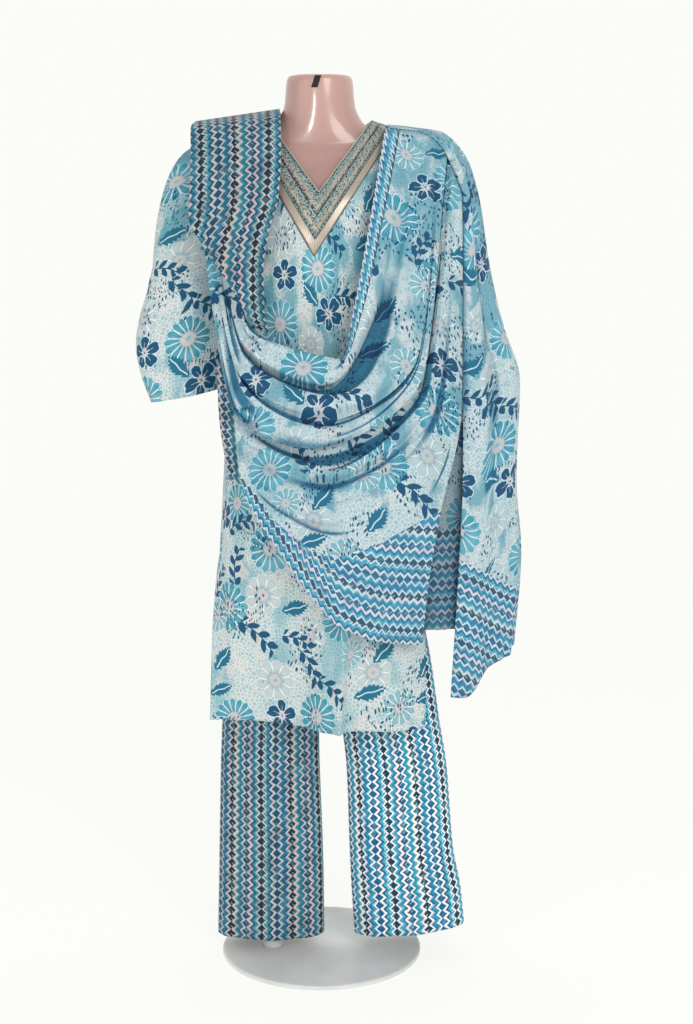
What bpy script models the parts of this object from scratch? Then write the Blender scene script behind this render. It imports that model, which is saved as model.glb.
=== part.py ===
"""Kurta set on a dress form: kurta, straight trousers and a long scarf.

Metres, +Z up, the front faces -Y, left and right as seen from the front.
The origin is at the middle of the stand's foot plate, on the floor.
"""
import bpy
import math
import numpy as np

MM = 0.001
WALL = 1.2 * MM
SEAM = 0.3 * MM

# Levels above the floor
SHOULDER_TIP_Z = 1.402
NECK_POINT_Z = 1.437
ARMHOLE_Z = 1.235
KURTA_HEM_Z = 0.440
SLIT_TOP_Z = 0.715
FLARE_TOP_Z = 0.810
WAIST_Z = 0.982
WAISTBAND_HEIGHT = 0.0255
CROTCH_Z = 0.705
TROUSER_HEM_Z = 0.034
RIGHT_HEM_RISE = 0.018

# Neckline of the kurta
NECK_HALF_WIDTH = 0.083
ARMHOLE_HOLLOW = 0.018
V_INNER_Z = 1.321
V_OUTER_Z = 1.230
BAND_WIDTH_AT_SHOULDER = 0.042
BACK_NECK_DROP = 0.030
V_CURVE = 1.0
SCOOP_CURVE = 2.2
BAND_THICK = 1.0 * MM
FRONT_BAND_LIFT = 0.9 * MM
BACK_BAND_LIFT = 2.0 * MM

# Places across a body panel, 0 at its middle and 1 at its side seam
NECK_PLACE = 0.36
TIP_PLACE = 0.64

# Stand
BASE_RADIUS = 0.175
BASE_THICK = 0.008
POLE_RADIUS = 0.011
POLE_X = -0.086
SOCKET_RADIUS = 0.019
SOCKET_HEIGHT = 0.022
FORM_BOTTOM_Z = 0.780
FORM_SIDES = 28

# Bare form: height, half width, front depth, back depth (millimetres)
FORM_ROWS = (
    (780, 108, 74, 82),
    (792, 128, 90, 98),
    (822, 144, 101, 111),
    (870, 150, 104, 112),
    (920, 143, 101, 100),
    (985, 129, 94, 86),
    (1060, 119, 88, 80),
    (1150, 132, 100, 86),
    (1235, 148, 114, 92),
    (1300, 154, 104, 93),
    (1350, 163, 82, 88),
    (1378, 166, 64, 75),
    (1392, 158, 54, 64),
    (1404, 134, 50, 57),
    (1414, 106, 50, 54),
    (1426, 82, 50, 53),
    (1442, 67, 50, 52),
    (1464, 58, 50, 51),
    (1502, 54, 49, 50),
    (1509, 51, 46, 47),
    (1511, 46, 42, 43),
)

# Kurta: height, half width, front depth, back depth (millimetres)
KURTA_ROWS = (
    (440, 182, 128, 122),
    (580, 179, 126, 122),
    (700, 173, 124, 122),
    (850, 164, 123, 124),
    (960, 158, 118, 112),
    (1060, 148, 109, 99),
    (1150, 153, 117, 101),
    (1235, 164, 126, 105),
    (1300, 170, 118, 105),
    (1350, 178, 97, 99),
    (1385, 187, 78, 88),
    (1402, 185, 70, 79),
    (1412, 162, 65, 72),
    (1424, 124, 63, 68),
    (1437, 84, 62, 65),
    (1445, 70, 61, 63),
)

# Plan of the kurta's hem: place across, x and y (millimetres)
FRONT_HEM = (
    (-1.00, -188, -66),
    (-0.87, -164, -62),
    (-0.68, -130, -66),
    (-0.52, -100, -70),
    (-0.17, -36, -103),
    (0.19, 30, -157),
    (0.29, 46, -136),
    (0.45, 76, -131),
    (0.64, 110, -136),
    (1.00, 176, -114),
)
BACK_HEM = (
    (-1.00, -188, 24),
    (-0.70, -136, 92),
    (-0.42, -80, 112),
    (-0.15, -26, 138),
    (0.12, 26, 120),
    (0.40, 80, 140),
    (0.70, 140, 110),
    (1.00, 184, 74),
)

# Sleeve on the left: length, inner x, middle y and z, half width and depth (mm)
SLEEVE_ROWS = (
    (0.00, -164, 0, 1322, 40, 50),
    (0.25, -171, -1, 1246, 47, 52),
    (0.50, -169, -2, 1160, 59, 51),
    (0.76, -176, -4, 1070, 66, 48),
    (1.00, -168, -8, 988, 59, 42),
)
RIGHT_SLEEVE_WIDTH = 0.88
SLEEVE_GAP = 1.8 * MM
SLEEVE_HEAD_END = 0.40
# How far the sleeve head's bend lies towards the tube, in x, y and z
SLEEVE_HEAD_BEND = (0.86, 0.8, 0.02)

# Leg below the crotch: height, middle x, half width, half depth (millimetres)
LEFT_LEG = (
    (34, -89.5, 94, 44),
    (180, -88.5, 91, 46),
    (340, -89, 86, 50),
    (480, -86, 82, 56),
    (600, -82, 79, 64),
    (705, -80, 78.3, 74),
)
RIGHT_LEG = (
    (34, 155, 97, 44),
    (100, 150, 96, 45),
    (180, 141, 91, 46),
    (340, 131, 87, 50),
    (420, 120, 85, 54),
    (530, 106, 83, 60),
    (620, 92, 80, 66),
    (705, 80, 78.3, 74),
)
# Hips of the trousers: height, half width, front depth, back depth (millimetres)
HIP_ROWS = (
    (705, 158, 74, 74),
    (730, 159, 100, 106),
    (770, 158, 109, 118),
    (860, 157, 111, 119),
    (920, 149, 108, 107),
    (956, 137.5, 99.5, 94.8),
)

# Folds of the scarf across the front, from the top edge down (millimetres).
# Each fold passes through five points (x, z), stands out by lift at its middle,
# and is set back behind the fold above by the last column.
COWL_ROWS = (
    ("lip", (-166, 1404), (-106, 1106), (35, 1062), (58, 1155), (106, 1424), 16, 0),
    ("roll_1", (-173, 1403), (-116, 1092), (15, 1036), (76, 1128), (132, 1422), 28, 0),
    ("trough_1", (-180, 1400), (-124, 1074), (5, 1011), (98, 1126), (162, 1418), 0, 0),
    ("roll_2", (-186, 1396), (-123, 1046), (23, 992), (140, 1060), (182, 1408), 30, 0),
    ("trough_2", (-192, 1391), (-120, 1020), (5, 962), (150, 1051), (194, 1398), 8, 0),
    ("roll_3", (-198, 1384), (-121, 994), (12, 942), (156, 1040), (201, 1388), 24, 0),
    ("lip_3", (-204, 1372), (-132, 968), (-12, 920), (161, 1018), (206, 1378), 20, 0),
)
APRON_ROWS = (
    ("tucked", (-137, 984), (-114, 962), (-8, 930), (163, 1024), (208, 1376), 6, 7),
    ("trough_3", (-137, 962), (-112, 942), (-8, 904), (167, 1002), (211, 1368), 3, 3),
    ("roll_4", (-136, 940), (-96, 918), (21, 886), (175, 992), (217, 1354), 22, 0),
    ("trough_4", (-134, 915), (-86, 880), (13, 856), (185, 974), (224, 1338), 6, 0),
    ("roll_5", (-132, 893), (-72, 840), (30, 816), (195, 950), (231, 1310), 18, 0),
    ("fall", (-130, 877), (-64, 818), (33, 786), (190, 868), (234, 990), 12, 0),
    ("band_top", (-128, 864), (-58, 800), (36, 750), (138, 782), (200, 810), 16, 0),
    ("band_low", (-127, 853), (-66, 778), (39, 690), (128, 692), (180, 692), 10, 0),
    ("hem", (-126, 842), (-72, 758), (40, 622), (123, 593), (169, 586), 15, 0),
)
# Depth of what the front folds lie on, by height (millimetres)
FRONT_REST = (
    (560, 160),
    (950, 156),
    (1100, 150),
    (1220, 147),
    (1300, 131),
    (1350, 112),
    (1400, 84),
    (1440, 62),
)
FRONT_REST_HALF_WIDTH = 0.262
LIFT_ACROSS = (0.06, 0.32, 1.0, 0.6, 0.3)

# Pleated stretch over the left shoulder: left and right edge (millimetres)
SHOULDER_ROWS = (
    ("ridge", (-204, 0, 1438), (-66, 0, 1458)),
    ("front_top", (-207, -54, 1426), (-62, -64, 1443)),
    ("chest", (-205, -94, 1372), (-60, -106, 1384)),
    ("armpit", (-207, -122, 1286), (-64, -134, 1312)),
    ("slant", (-184, -146, 1240), (-78, -154, 1260)),
    ("narrow", (-144, -172, 1184), (-86, -174, 1200)),
    ("neck", (-116, -178, 1136), (-86, -168, 1140)),
    ("tuck", (-98, -150, 1108), (-79, -146, 1100)),
)
SHOULDER_PLEATS = 3
SHOULDER_PLEAT_DEPTH = 5 * MM

# Free end down the back from the left shoulder (millimetres)
BACK_ROWS = (
    ("ridge", (-204, 1, 1438), (-66, 1, 1458)),
    ("back_top", (-204, 58, 1421), (-62, 68, 1436)),
    ("blade", (-198, 89, 1350), (-56, 98.6, 1356)),
    ("waist", (-172, 103, 1130), (-38, 110, 1128)),
    ("seat", (-146, 122, 930), (-18, 128, 926)),
    ("end", (-140, 130, 800), (-10, 137, 790)),
)
BACK_PLEATS = 4
BACK_PLEAT_DEPTH = 8 * MM

# Fall over the right arm: front edge, outermost line, back edge (millimetres)
ARM_ROWS = (
    ("neck", 0.0, (106, -52, 1424), (112, 4, 1432.5), (110, 70, 1412)),
    ("middle", 1.7, (150, -52, 1421), (154, 4, 1428), (150, 80, 1398)),
    ("tip", 3.6, (192, -64, 1400), (199, 4, 1421), (194, 92, 1380)),
    ("cap", 7.0, (211, -73, 1368), (237, 4, 1380), (212, 97, 1350)),
    ("upper", 10.0, (231, -84, 1310), (260, 4, 1310), (228, 100, 1296)),
    ("biceps", 10.4, (234, -96, 1205), (279, 2, 1205), (234, 103, 1196)),
    ("elbow", 10.7, (234, -104, 1102), (306, 0, 1100), (238, 105, 1090)),
    ("forearm", 11.0, (236, -74, 990), (333, 0, 1004), (240, 104, 1000)),
    ("free", None, (236, -84, 860), (329, 0, 850), (240, 102, 860)),
    ("band_top", None, (230, -90, 690), (339, 0, 700), (238, 100, 700)),
    ("hem", None, (219, -90, 470), (329, 0, 541), (234, 96, 560)),
)
FOLD_JOIN_GAP = 1.9 * MM
ARM_FOLDS = 4
ARM_FOLD_DEPTH = 7 * MM

# Darker layer seen between the front and the arm fall (millimetres)
UNDER_ROWS = (
    ("top", (150, -106, 985), (256, -61.8, 1005)),
    ("middle", (148, -112, 860), (258, -64, 860)),
    ("low", (148, -114, 720), (256, -68, 720)),
    ("hem", (152, -112, 606), (250, -70, 600)),
)
UNDER_FOLD_DEPTH = 4 * MM

# Side edge of the scarf, seen beside the left edge of the front folds (millimetres)
SIDE_ROWS = (
    ("top", (-166, -108, 1048), (-124, -127, 1030)),
    ("middle", (-163, -114, 965), (-120, -131, 950)),
    ("foot", (-150, -114, 868), (-116, -131, 846)),
)


def clear_scene():
    for thing in list(bpy.data.objects):
        bpy.data.objects.remove(thing, do_unlink=True)


def level_slopes(places, values):
    """Slopes that keep a curve between its points from overshooting."""
    rises = np.diff(values) / np.diff(places)
    slopes = np.concatenate([[rises[0]], np.zeros(len(rises) - 1), [rises[-1]]])
    before, after = rises[:-1], rises[1:]
    same_way = before * after > 0
    slopes[1:-1][same_way] = (2 * before * after)[same_way] / (before + after)[same_way]
    return slopes


def smooth(places, values, at):
    """Cubic curve through a table's points, held level past its ends."""
    places = np.asarray(places, float)
    values = np.asarray(values, float)
    order = np.argsort(places)
    places = places[order]
    values = values[order]
    at = np.clip(np.asarray(at, float), places[0], places[-1])
    slopes = level_slopes(places, values)
    cell = np.clip(np.searchsorted(places, at, side="right") - 1, 0, len(places) - 2)
    span = places[cell + 1] - places[cell]
    t = (at - places[cell]) / span
    rise = 2 * t**3 - 3 * t**2
    return (
        (rise + 1) * values[cell]
        + (t**3 - 2 * t**2 + t) * span * slopes[cell]
        - rise * values[cell + 1]
        + (t**3 - t**2) * span * slopes[cell + 1]
    )


def column(rows, index, z):
    """One column of a millimetre table, read in metres at height z."""
    heights = [row[0] * MM for row in rows]
    values = [row[index] * MM for row in rows]
    return float(smooth(heights, values, z))


def ease(t):
    t = min(1.0, max(0.0, t))
    return t * t * (3 - 2 * t)


def mix(a, b, t):
    return a + (b - a) * t


def grid_normals(points, closed):
    """Unit normals of a grid of points, rows first."""
    down = np.gradient(points, axis=0)
    if closed:
        across = (np.roll(points, -1, axis=1) - np.roll(points, 1, axis=1)) / 2
    else:
        across = np.gradient(points, axis=1)
    normals = np.cross(across, down)
    return normals / np.linalg.norm(normals, axis=2, keepdims=True)


def make_object(name, verts, faces, colour, gloss):
    mesh = bpy.data.meshes.new(name)
    mesh.from_pydata([tuple(v) for v in verts], [], faces)
    mesh.update()
    thing = bpy.data.objects.new(name, mesh)
    bpy.context.collection.objects.link(thing)
    material = bpy.data.materials.new(name)
    material.use_nodes = True
    shader = material.node_tree.nodes["Principled BSDF"]
    shader.inputs["Base Color"].default_value = (*colour, 1)
    shader.inputs["Roughness"].default_value = gloss
    mesh.materials.append(material)
    return thing


def wall(name, points, colour, closed=False, thick=WALL, gloss=0.8, joined_rows=0):
    """Closed wall of even thickness on both sides of a grid of points.

    The two side edges of the first joined_rows meet, so share a normal there.
    """
    points = np.asarray(points, float)
    rows, cols = points.shape[:2]
    normals = grid_normals(points, closed)
    for row in range(joined_rows):
        shared = normals[row, 0] + normals[row, -1]
        normals[row, 0] = normals[row, -1] = shared / np.linalg.norm(shared)
    outer = points + normals * thick / 2
    inner = points - normals * thick / 2
    verts = np.concatenate([outer.reshape(-1, 3), inner.reshape(-1, 3)])
    flat = points.reshape(-1, 3)
    layer = rows * cols
    faces = []

    def at(row, col):
        return row * cols + col % cols

    last = cols if closed else cols - 1
    for row in range(rows - 1):
        for col in range(last):
            a, b = at(row, col), at(row, col + 1)
            c, d = at(row + 1, col + 1), at(row + 1, col)
            spans = flat[c] - flat[a], flat[d] - flat[b]
            if np.dot(spans[0], spans[0]) <= np.dot(spans[1], spans[1]):
                halves = [(a, d, c), (a, c, b)]
            else:
                halves = [(a, d, b), (b, d, c)]
            faces += halves
            faces += [(r + layer, q + layer, p + layer) for p, q, r in halves]
    rim = [(at(0, col), at(0, col + 1)) for col in range(last)]
    rim += [(at(rows - 1, col + 1), at(rows - 1, col)) for col in range(last)]
    if not closed:
        rim += [(at(row + 1, 0), at(row, 0)) for row in range(rows - 1)]
        rim += [(at(row, cols - 1), at(row + 1, cols - 1)) for row in range(rows - 1)]
    for a, b in rim:
        faces += [(a, b, b + layer), (a, b + layer, a + layer)]
    return close_outward(name, verts, faces, colour, gloss)


def close_outward(name, verts, faces, colour, gloss):
    """Turn the faces outward where the enclosed volume comes out negative."""
    volume = 0.0
    for a, b, c in faces:
        volume += np.dot(verts[a], np.cross(verts[b], verts[c]))
    if volume < 0:
        faces = [face[::-1] for face in faces]
    return make_object(name, verts, faces, colour, gloss)


def solid_rings(name, rings, colour, gloss):
    """Solid through closed rings, with a flat cap at each end."""
    rings = np.asarray(rings, float)
    rows, cols = rings.shape[:2]
    verts = list(rings.reshape(-1, 3))
    verts += [rings[0].mean(axis=0), rings[-1].mean(axis=0)]
    first, final = rows * cols, rows * cols + 1
    faces = []
    for row in range(rows - 1):
        for col in range(cols):
            a, b = row * cols + col, row * cols + (col + 1) % cols
            c, d = b + cols, a + cols
            faces += [(a, b, c), (a, c, d)]
    for col in range(cols):
        after = (col + 1) % cols
        faces.append((first, after, col))
        faces.append((final, final - 2 - cols + 1 + col, final - 2 - cols + 1 + after))
    return close_outward(name, np.array(verts), faces, colour, gloss)


def round_rings(x, y, sides, profile):
    """Rings of a turned piece from (radius, z) pairs."""
    turns = [2 * math.pi * k / sides for k in range(sides)]
    return [
        [(x + r * math.cos(a), y + r * math.sin(a), z) for a in turns]
        for r, z in profile
    ]


def build_form():
    rings = []
    for z_mm, half, front, back in FORM_ROWS:
        ring = []
        for k in range(FORM_SIDES):
            a = 2 * math.pi * k / FORM_SIDES
            depth = front if math.sin(a) < 0 else back
            ring.append((half * MM * math.cos(a), depth * MM * math.sin(a), z_mm * MM))
        rings.append(ring)
    solid_rings("dress_form", rings, (0.80, 0.52, 0.44), 0.25)


def build_form_tab():
    """Small black strap end bent over the front rim of the neck."""
    rows, cols = 5, 3
    half_width, lean = 0.0055, 0.30
    middle_x = -0.006
    points = np.zeros((rows, cols, 3))
    for i in range(rows):
        z = mix(1.5065, 1.484, i / (rows - 1))
        for j in range(cols):
            x = middle_x + mix(-half_width, half_width, j / (cols - 1))
            x += (1.495 - z) * lean
            half = column(FORM_ROWS, 1, z)
            front = column(FORM_ROWS, 2, z)
            y = -front * math.sqrt(1 - (x / half) ** 2) - 1.6 * MM
            points[i, j] = (x, y, z)
    wall("form_strap_end", points, (0.02, 0.02, 0.02), gloss=0.5)


def build_stand():
    disc = round_rings(0, 0, 48, ((BASE_RADIUS - 2 * MM, 0),
                                  (BASE_RADIUS, 2 * MM),
                                  (BASE_RADIUS, BASE_THICK - 2 * MM),
                                  (BASE_RADIUS - 2 * MM, BASE_THICK)))
    solid_rings("stand_base", disc, (0.86, 0.86, 0.85), 0.4)
    socket_foot = BASE_THICK + SEAM
    socket = round_rings(POLE_X, 0, 24, ((SOCKET_RADIUS, socket_foot),
                                         (SOCKET_RADIUS, socket_foot + SOCKET_HEIGHT),
                                         (SOCKET_RADIUS - 4 * MM,
                                          socket_foot + SOCKET_HEIGHT + 4 * MM)))
    solid_rings("stand_socket", socket, (0.86, 0.86, 0.85), 0.4)
    pole_foot = socket_foot + SOCKET_HEIGHT + 4 * MM + SEAM
    pole = round_rings(POLE_X, 0, 20, ((POLE_RADIUS, pole_foot),
                                       (POLE_RADIUS, FORM_BOTTOM_Z - SEAM)))
    solid_rings("stand_pole", pole, (0.72, 0.73, 0.74), 0.3)


def kurta_depth(x, z, index):
    half = column(KURTA_ROWS, 1, z)
    reach = min(0.9995, abs(x) / half)
    return column(KURTA_ROWS, index, z) * math.sqrt(1 - reach * reach)


def edge_reach(z):
    """Half width of a panel at height z: the armhole or the shoulder seam."""
    if z >= SHOULDER_TIP_Z:
        return column(KURTA_ROWS, 1, z)
    t = (SHOULDER_TIP_Z - z) / (SHOULDER_TIP_Z - ARMHOLE_Z)
    hollow = ARMHOLE_HOLLOW * math.sin(math.pi * t)
    tip = column(KURTA_ROWS, 1, SHOULDER_TIP_Z)
    return mix(tip, column(KURTA_ROWS, 1, ARMHOLE_Z), t) - hollow


def top_edge(u, tip_z, neck_curve):
    """Upper edge of a body panel: neckline, shoulder seam, then armhole."""
    side = abs(u)
    if side <= NECK_PLACE:
        t = side / NECK_PLACE
        return NECK_HALF_WIDTH * t, mix(tip_z, NECK_POINT_Z, t**neck_curve)
    if side <= TIP_PLACE:
        t = (side - NECK_PLACE) / (TIP_PLACE - NECK_PLACE)
        z = mix(NECK_POINT_Z, SHOULDER_TIP_Z, t)
        return column(KURTA_ROWS, 1, z), z
    t = (side - TIP_PLACE) / (1 - TIP_PLACE)
    z = mix(SHOULDER_TIP_Z, ARMHOLE_Z, t)
    return edge_reach(z), z


def body_point(u, z, x_top, z_top, index, side_sign, hem_plan):
    """Point of a body panel in the column u at height z."""
    angle = u * math.pi / 2
    if z >= ARMHOLE_Z:
        t = (z - ARMHOLE_Z) / max(1e-6, z_top - ARMHOLE_Z)
        upright = mix(edge_reach(ARMHOLE_Z) * math.sin(abs(angle)), x_top, t)
        along_edge = edge_reach(z) * mix(math.sin(abs(angle)), 1.0, t**2.5)
        x = mix(upright, along_edge, ease((abs(u) - 0.42) / (TIP_PLACE - 0.42)))
        return math.copysign(x, u), side_sign * kurta_depth(x, z, index), z
    half = column(KURTA_ROWS, 1, z)
    x = half * math.sin(angle)
    y = side_sign * column(KURTA_ROWS, index, z) * math.cos(angle)
    drop = (FLARE_TOP_Z - z) / (FLARE_TOP_Z - KURTA_HEM_Z)
    share = ease(drop)
    edge = max(0.0, (SLIT_TOP_Z - z) / (SLIT_TOP_Z - KURTA_HEM_Z)) ** 0.75
    hold = ease((abs(u) - 0.5) / 0.5)
    share = mix(share, edge, hold)
    places = [row[0] for row in hem_plan]
    hem_x = float(smooth(places, [row[1] * MM for row in hem_plan], u))
    hem_y = float(smooth(places, [row[2] * MM for row in hem_plan], u))
    return mix(x, hem_x, share), mix(y, hem_y, share), z


def body_panel(rows, cols, tip_z, neck_curve, index, side_sign, hem_plan):
    points = np.zeros((rows, cols, 3))
    for j in range(cols):
        u = mix(-1, 1, j / (cols - 1))
        x_top, z_top = top_edge(u, tip_z, neck_curve)
        for i in range(rows):
            z = mix(z_top, KURTA_HEM_Z, (i / (rows - 1)) ** 1.15)
            point = body_point(u, z, x_top, z_top, index, side_sign, hem_plan)
            points[i, j] = point
    points[:, :, 1] += side_sign * SEAM
    return points


def build_kurta_body():
    front = body_panel(20, 25, V_INNER_Z, V_CURVE, 2, -1, FRONT_HEM)
    wall("kurta_front", front, (0.45, 0.62, 0.68))
    back = body_panel(16, 19, NECK_POINT_Z - BACK_NECK_DROP, SCOOP_CURVE, 3, 1, BACK_HEM)
    wall("kurta_back", back, (0.45, 0.62, 0.68))


def shoulder_seam_z(x):
    """Height of the shoulder seam at a distance x from the middle."""
    low, high = SHOULDER_TIP_Z, NECK_POINT_Z + 0.008
    for _ in range(30):
        z = (low + high) / 2
        if column(KURTA_ROWS, 1, z) > x:
            low = z
        else:
            high = z
    return low


def off_panel(x, z, index, side_sign, off):
    """Point moved off the kurta's panel along its outward normal."""
    step = 0.5 * MM
    depth = kurta_depth(x, z, index)
    slope_x = (kurta_depth(x + step, z, index) - kurta_depth(x - step, z, index)) / (2 * step)
    slope_z = (kurta_depth(x, z + step, index) - kurta_depth(x, z - step, index)) / (2 * step)
    normal = np.array((-slope_x, side_sign, -slope_z))
    normal /= np.linalg.norm(normal)
    return np.array((x, side_sign * (depth + SEAM), z)) + normal * off


def neck_band(name, inner_tip_z, outer_tip_z, neck_curve, index, side_sign, lift, along, across):
    """Flat band following one half of the neckline, lying on its panel."""
    points = np.zeros((across, along, 3))
    inner_x = NECK_HALF_WIDTH + 1 * MM
    outer_x = NECK_HALF_WIDTH + BAND_WIDTH_AT_SHOULDER
    off = WALL / 2 + BAND_THICK / 2 + lift
    for j in range(along):
        u = mix(-1, 1, j / (along - 1))
        for i in range(across):
            t = i / (across - 1)
            x = u * mix(inner_x, outer_x, t)
            top = shoulder_seam_z(mix(inner_x, outer_x, t))
            tip = mix(inner_tip_z + 2 * MM, outer_tip_z, t)
            z = mix(tip, top, abs(u) ** neck_curve)
            points[i, j] = off_panel(x, z, index, side_sign, off)
    points[:, (0, -1), 1] = side_sign * SEAM
    wall(name, points, (0.70, 0.66, 0.60), thick=BAND_THICK)


def sleeve_ring(t, phi, mirror, width):
    """Point of the sleeve at length t and angle phi, 0 outermost."""
    places = [row[0] for row in SLEEVE_ROWS]

    def read(k, at):
        return float(smooth(places, [row[k] * MM for row in SLEEVE_ROWS], at))

    def middle(at):
        return read(1, at) - read(4, at) * width, read(3, at)

    x0, z0 = middle(max(0.0, t - 0.02))
    x1, z1 = middle(min(1.0, t + 0.02))
    length = math.hypot(x1 - x0, z1 - z0)
    out_x, out_z = (z1 - z0) / length, -(x1 - x0) / length
    x, z = middle(t)
    wide = read(4, t) * width * math.cos(phi)
    deep = read(5, t) * math.sin(phi)
    return mirror * (x + out_x * wide), read(2, t) - deep, z + out_z * wide


def armhole_point(phi):
    """Point of the armhole for the same angle, from the panels' edges."""
    side = abs(math.atan2(math.sin(phi), math.cos(phi))) / math.pi
    u = mix(TIP_PLACE, 1.0, side)
    x, z = top_edge(u, V_INNER_Z, V_CURVE)
    if math.sin(phi) >= 0:
        return -x, -kurta_depth(x, z, 2), z
    return -x, kurta_depth(x, z, 3), z


def build_sleeve(name, mirror, width):
    """Tube from the armhole to an open cuff; its head bends out of the armhole."""
    rows, cols = 13, 18
    points = np.zeros((rows, cols, 3))
    for i in range(rows):
        t = i / (rows - 1)
        head = min(1.0, t / SLEEVE_HEAD_END)
        for j in range(cols):
            phi = 2 * math.pi * j / cols
            tube = sleeve_ring(max(t, SLEEVE_HEAD_END), phi, mirror, width)
            x, y, z = armhole_point(phi)
            start = (mirror * (x - SLEEVE_GAP), y, z)
            for k in range(3):
                bend = mix(start[k], tube[k], SLEEVE_HEAD_BEND[k])
                points[i, j, k] = (
                    (1 - head) ** 2 * start[k] + 2 * head * (1 - head) * bend + head**2 * tube[k]
                )
    wall(name, points, (0.62, 0.70, 0.74), closed=True)


def leg_ring(z, angle, rows, side):
    """Below the crotch: angle 0 is the inseam, going round by the front."""
    middle = column(rows, 1, z)
    wide = column(rows, 2, z)
    deep = column(rows, 3, z)
    x = middle - side * wide * math.cos(angle)
    y = -deep * math.sin(angle)
    return x, y, z


def hip_ring(z, angle, side):
    """Above the crotch: the same angle runs from centre front to back."""
    half = column(HIP_ROWS, 1, z)
    front = column(HIP_ROWS, 2, z)
    back = column(HIP_ROWS, 3, z)
    turn = angle / 2 - math.pi / 2
    depth = front if turn < 0 else back
    rise = ease((z - CROTCH_Z) / 0.06)
    apart = mix(1.7 * MM, SEAM / 2, rise)
    x = side * (half * math.cos(turn) + apart)
    leg_y = -column(LEFT_LEG, 3, CROTCH_Z) * math.sin(angle)
    return x, mix(leg_y, depth * math.sin(turn), rise), z


def build_leg(name, table, side, hem_rise):
    cols = 21
    gap_angle = 0.004
    below = [mix(TROUSER_HEM_Z, CROTCH_Z, k / 6) for k in range(7)]
    above = [0.735, 0.765, 0.800, 0.870, WAIST_Z - 0.026]
    points = np.zeros((len(below) + len(above), cols, 3))
    for i, z in enumerate(below + above):
        for j in range(cols):
            angle = mix(gap_angle, 2 * math.pi - gap_angle, j / (cols - 1))
            if z <= CROTCH_Z:
                x, y, z_ring = leg_ring(z, angle, table, side)
                fade = (CROTCH_Z - z) / (CROTCH_Z - TROUSER_HEM_Z)
                z_ring += hem_rise * fade**3 * (1 - math.cos(angle)) / 2
                points[i, j] = (x, y, z_ring)
            else:
                points[i, j] = hip_ring(z, angle, side)
    wall(name, points, (0.10, 0.28, 0.42), joined_rows=len(below))


def build_waistband():
    """Band round the form's waist, as many-sided as the form and 0.3 mm off it."""
    heights = [row[0] * MM for row in FORM_ROWS]
    off = WALL / 2 + 1.5 * SEAM
    points = np.zeros((2, FORM_SIDES, 3))
    for i, z in enumerate((WAIST_Z - WAISTBAND_HEIGHT, WAIST_Z)):
        half, front, back = [float(np.interp(z, heights, [row[k] * MM for row in FORM_ROWS]))
                             + off for k in (1, 2, 3)]
        for j in range(FORM_SIDES):
            angle = 2 * math.pi * j / FORM_SIDES
            depth = front if math.sin(angle) < 0 else back
            points[i, j] = (half * math.cos(angle), depth * math.sin(angle), z)
    wall("trousers_waistband", points, (0.12, 0.32, 0.45), closed=True)


def fold_point(rows, s, t):
    """Point of a folded front stretch: s across from the left, t down its rows."""
    row_places = [k / (len(rows) - 1) for k in range(len(rows))]
    across = (0.0, 0.27, 0.52, 0.78, 1.0)
    xs, zs = [], []
    for k in range(5):
        xs.append(float(smooth(row_places, [row[1 + k][0] * MM for row in rows], t)))
        zs.append(float(smooth(row_places, [row[1 + k][1] * MM for row in rows], t)))
    lift = float(smooth(row_places, [row[6] * MM for row in rows], t))
    set_back = float(smooth(row_places, [row[7] * MM for row in rows], t))
    x = float(smooth(across, xs, s))
    z = float(smooth(across, zs, s))
    share = float(smooth(across, LIFT_ACROSS, s))
    rest = float(smooth([row[0] * MM for row in FRONT_REST],
                        [row[1] * MM for row in FRONT_REST], z))
    y = -rest * math.sqrt(max(0.1, 1 - (x / FRONT_REST_HALF_WIDTH) ** 2))
    return x, y - lift * share + set_back, z


def build_front_folds(name, table, rows):
    cols = 23
    points = np.zeros((rows, cols, 3))
    for i in range(rows):
        for j in range(cols):
            points[i, j] = fold_point(table, j / (cols - 1), i / (rows - 1))
    wall(name, points, (0.30, 0.62, 0.72))


def strip_point(table, s, t, pleats, depth, side_sign):
    """Point of a hanging stretch between its left and right edges."""
    count = len(table)
    places = [k / (count - 1) for k in range(count)]
    ends = []
    for edge in (1, 2):
        ends.append([float(smooth(places, [row[edge][k] * MM for row in table], t))
                     for k in range(3)])
    point = [mix(ends[0][k], ends[1][k], s) for k in range(3)]
    wave = 0.5 - 0.5 * math.cos(2 * math.pi * pleats * s)
    top_width = (table[0][2][0] - table[0][1][0]) * MM
    narrowing = min(1.0, (ends[1][0] - ends[0][0]) / top_width)
    point[1] += side_sign * depth * wave * ease(t * 2.5) * narrowing
    return point


def build_strip(name, table, rows, cols, pleats, depth, side_sign, colour):
    points = np.zeros((rows, cols, 3))
    for i in range(rows):
        for j in range(cols):
            points[i, j] = strip_point(table, j / (cols - 1), i / (rows - 1),
                                       pleats, depth, side_sign)
    wall(name, points, colour)


def arm_front_edge(t, edge, outer):
    """Front edge of the arm fall, butted to the front folds where they meet."""
    joined = [row for row in ARM_ROWS if row[1] is not None]
    span = (len(joined) - 1) / (len(ARM_ROWS) - 1)
    if t > span:
        return edge
    places = [k / (len(ARM_ROWS) - 1) for k in range(len(joined))]
    fold_row = float(smooth(places, [row[1] for row in joined], t))
    folds = COWL_ROWS + APRON_ROWS[1:]
    meet = fold_point(folds, 1.0, fold_row / (len(folds) - 1))
    away = (outer[0] - meet[0], outer[2] - meet[2])
    step = FOLD_JOIN_GAP / math.hypot(*away)
    return [meet[0] + away[0] * step, meet[1], meet[2] + away[1] * step]


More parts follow.
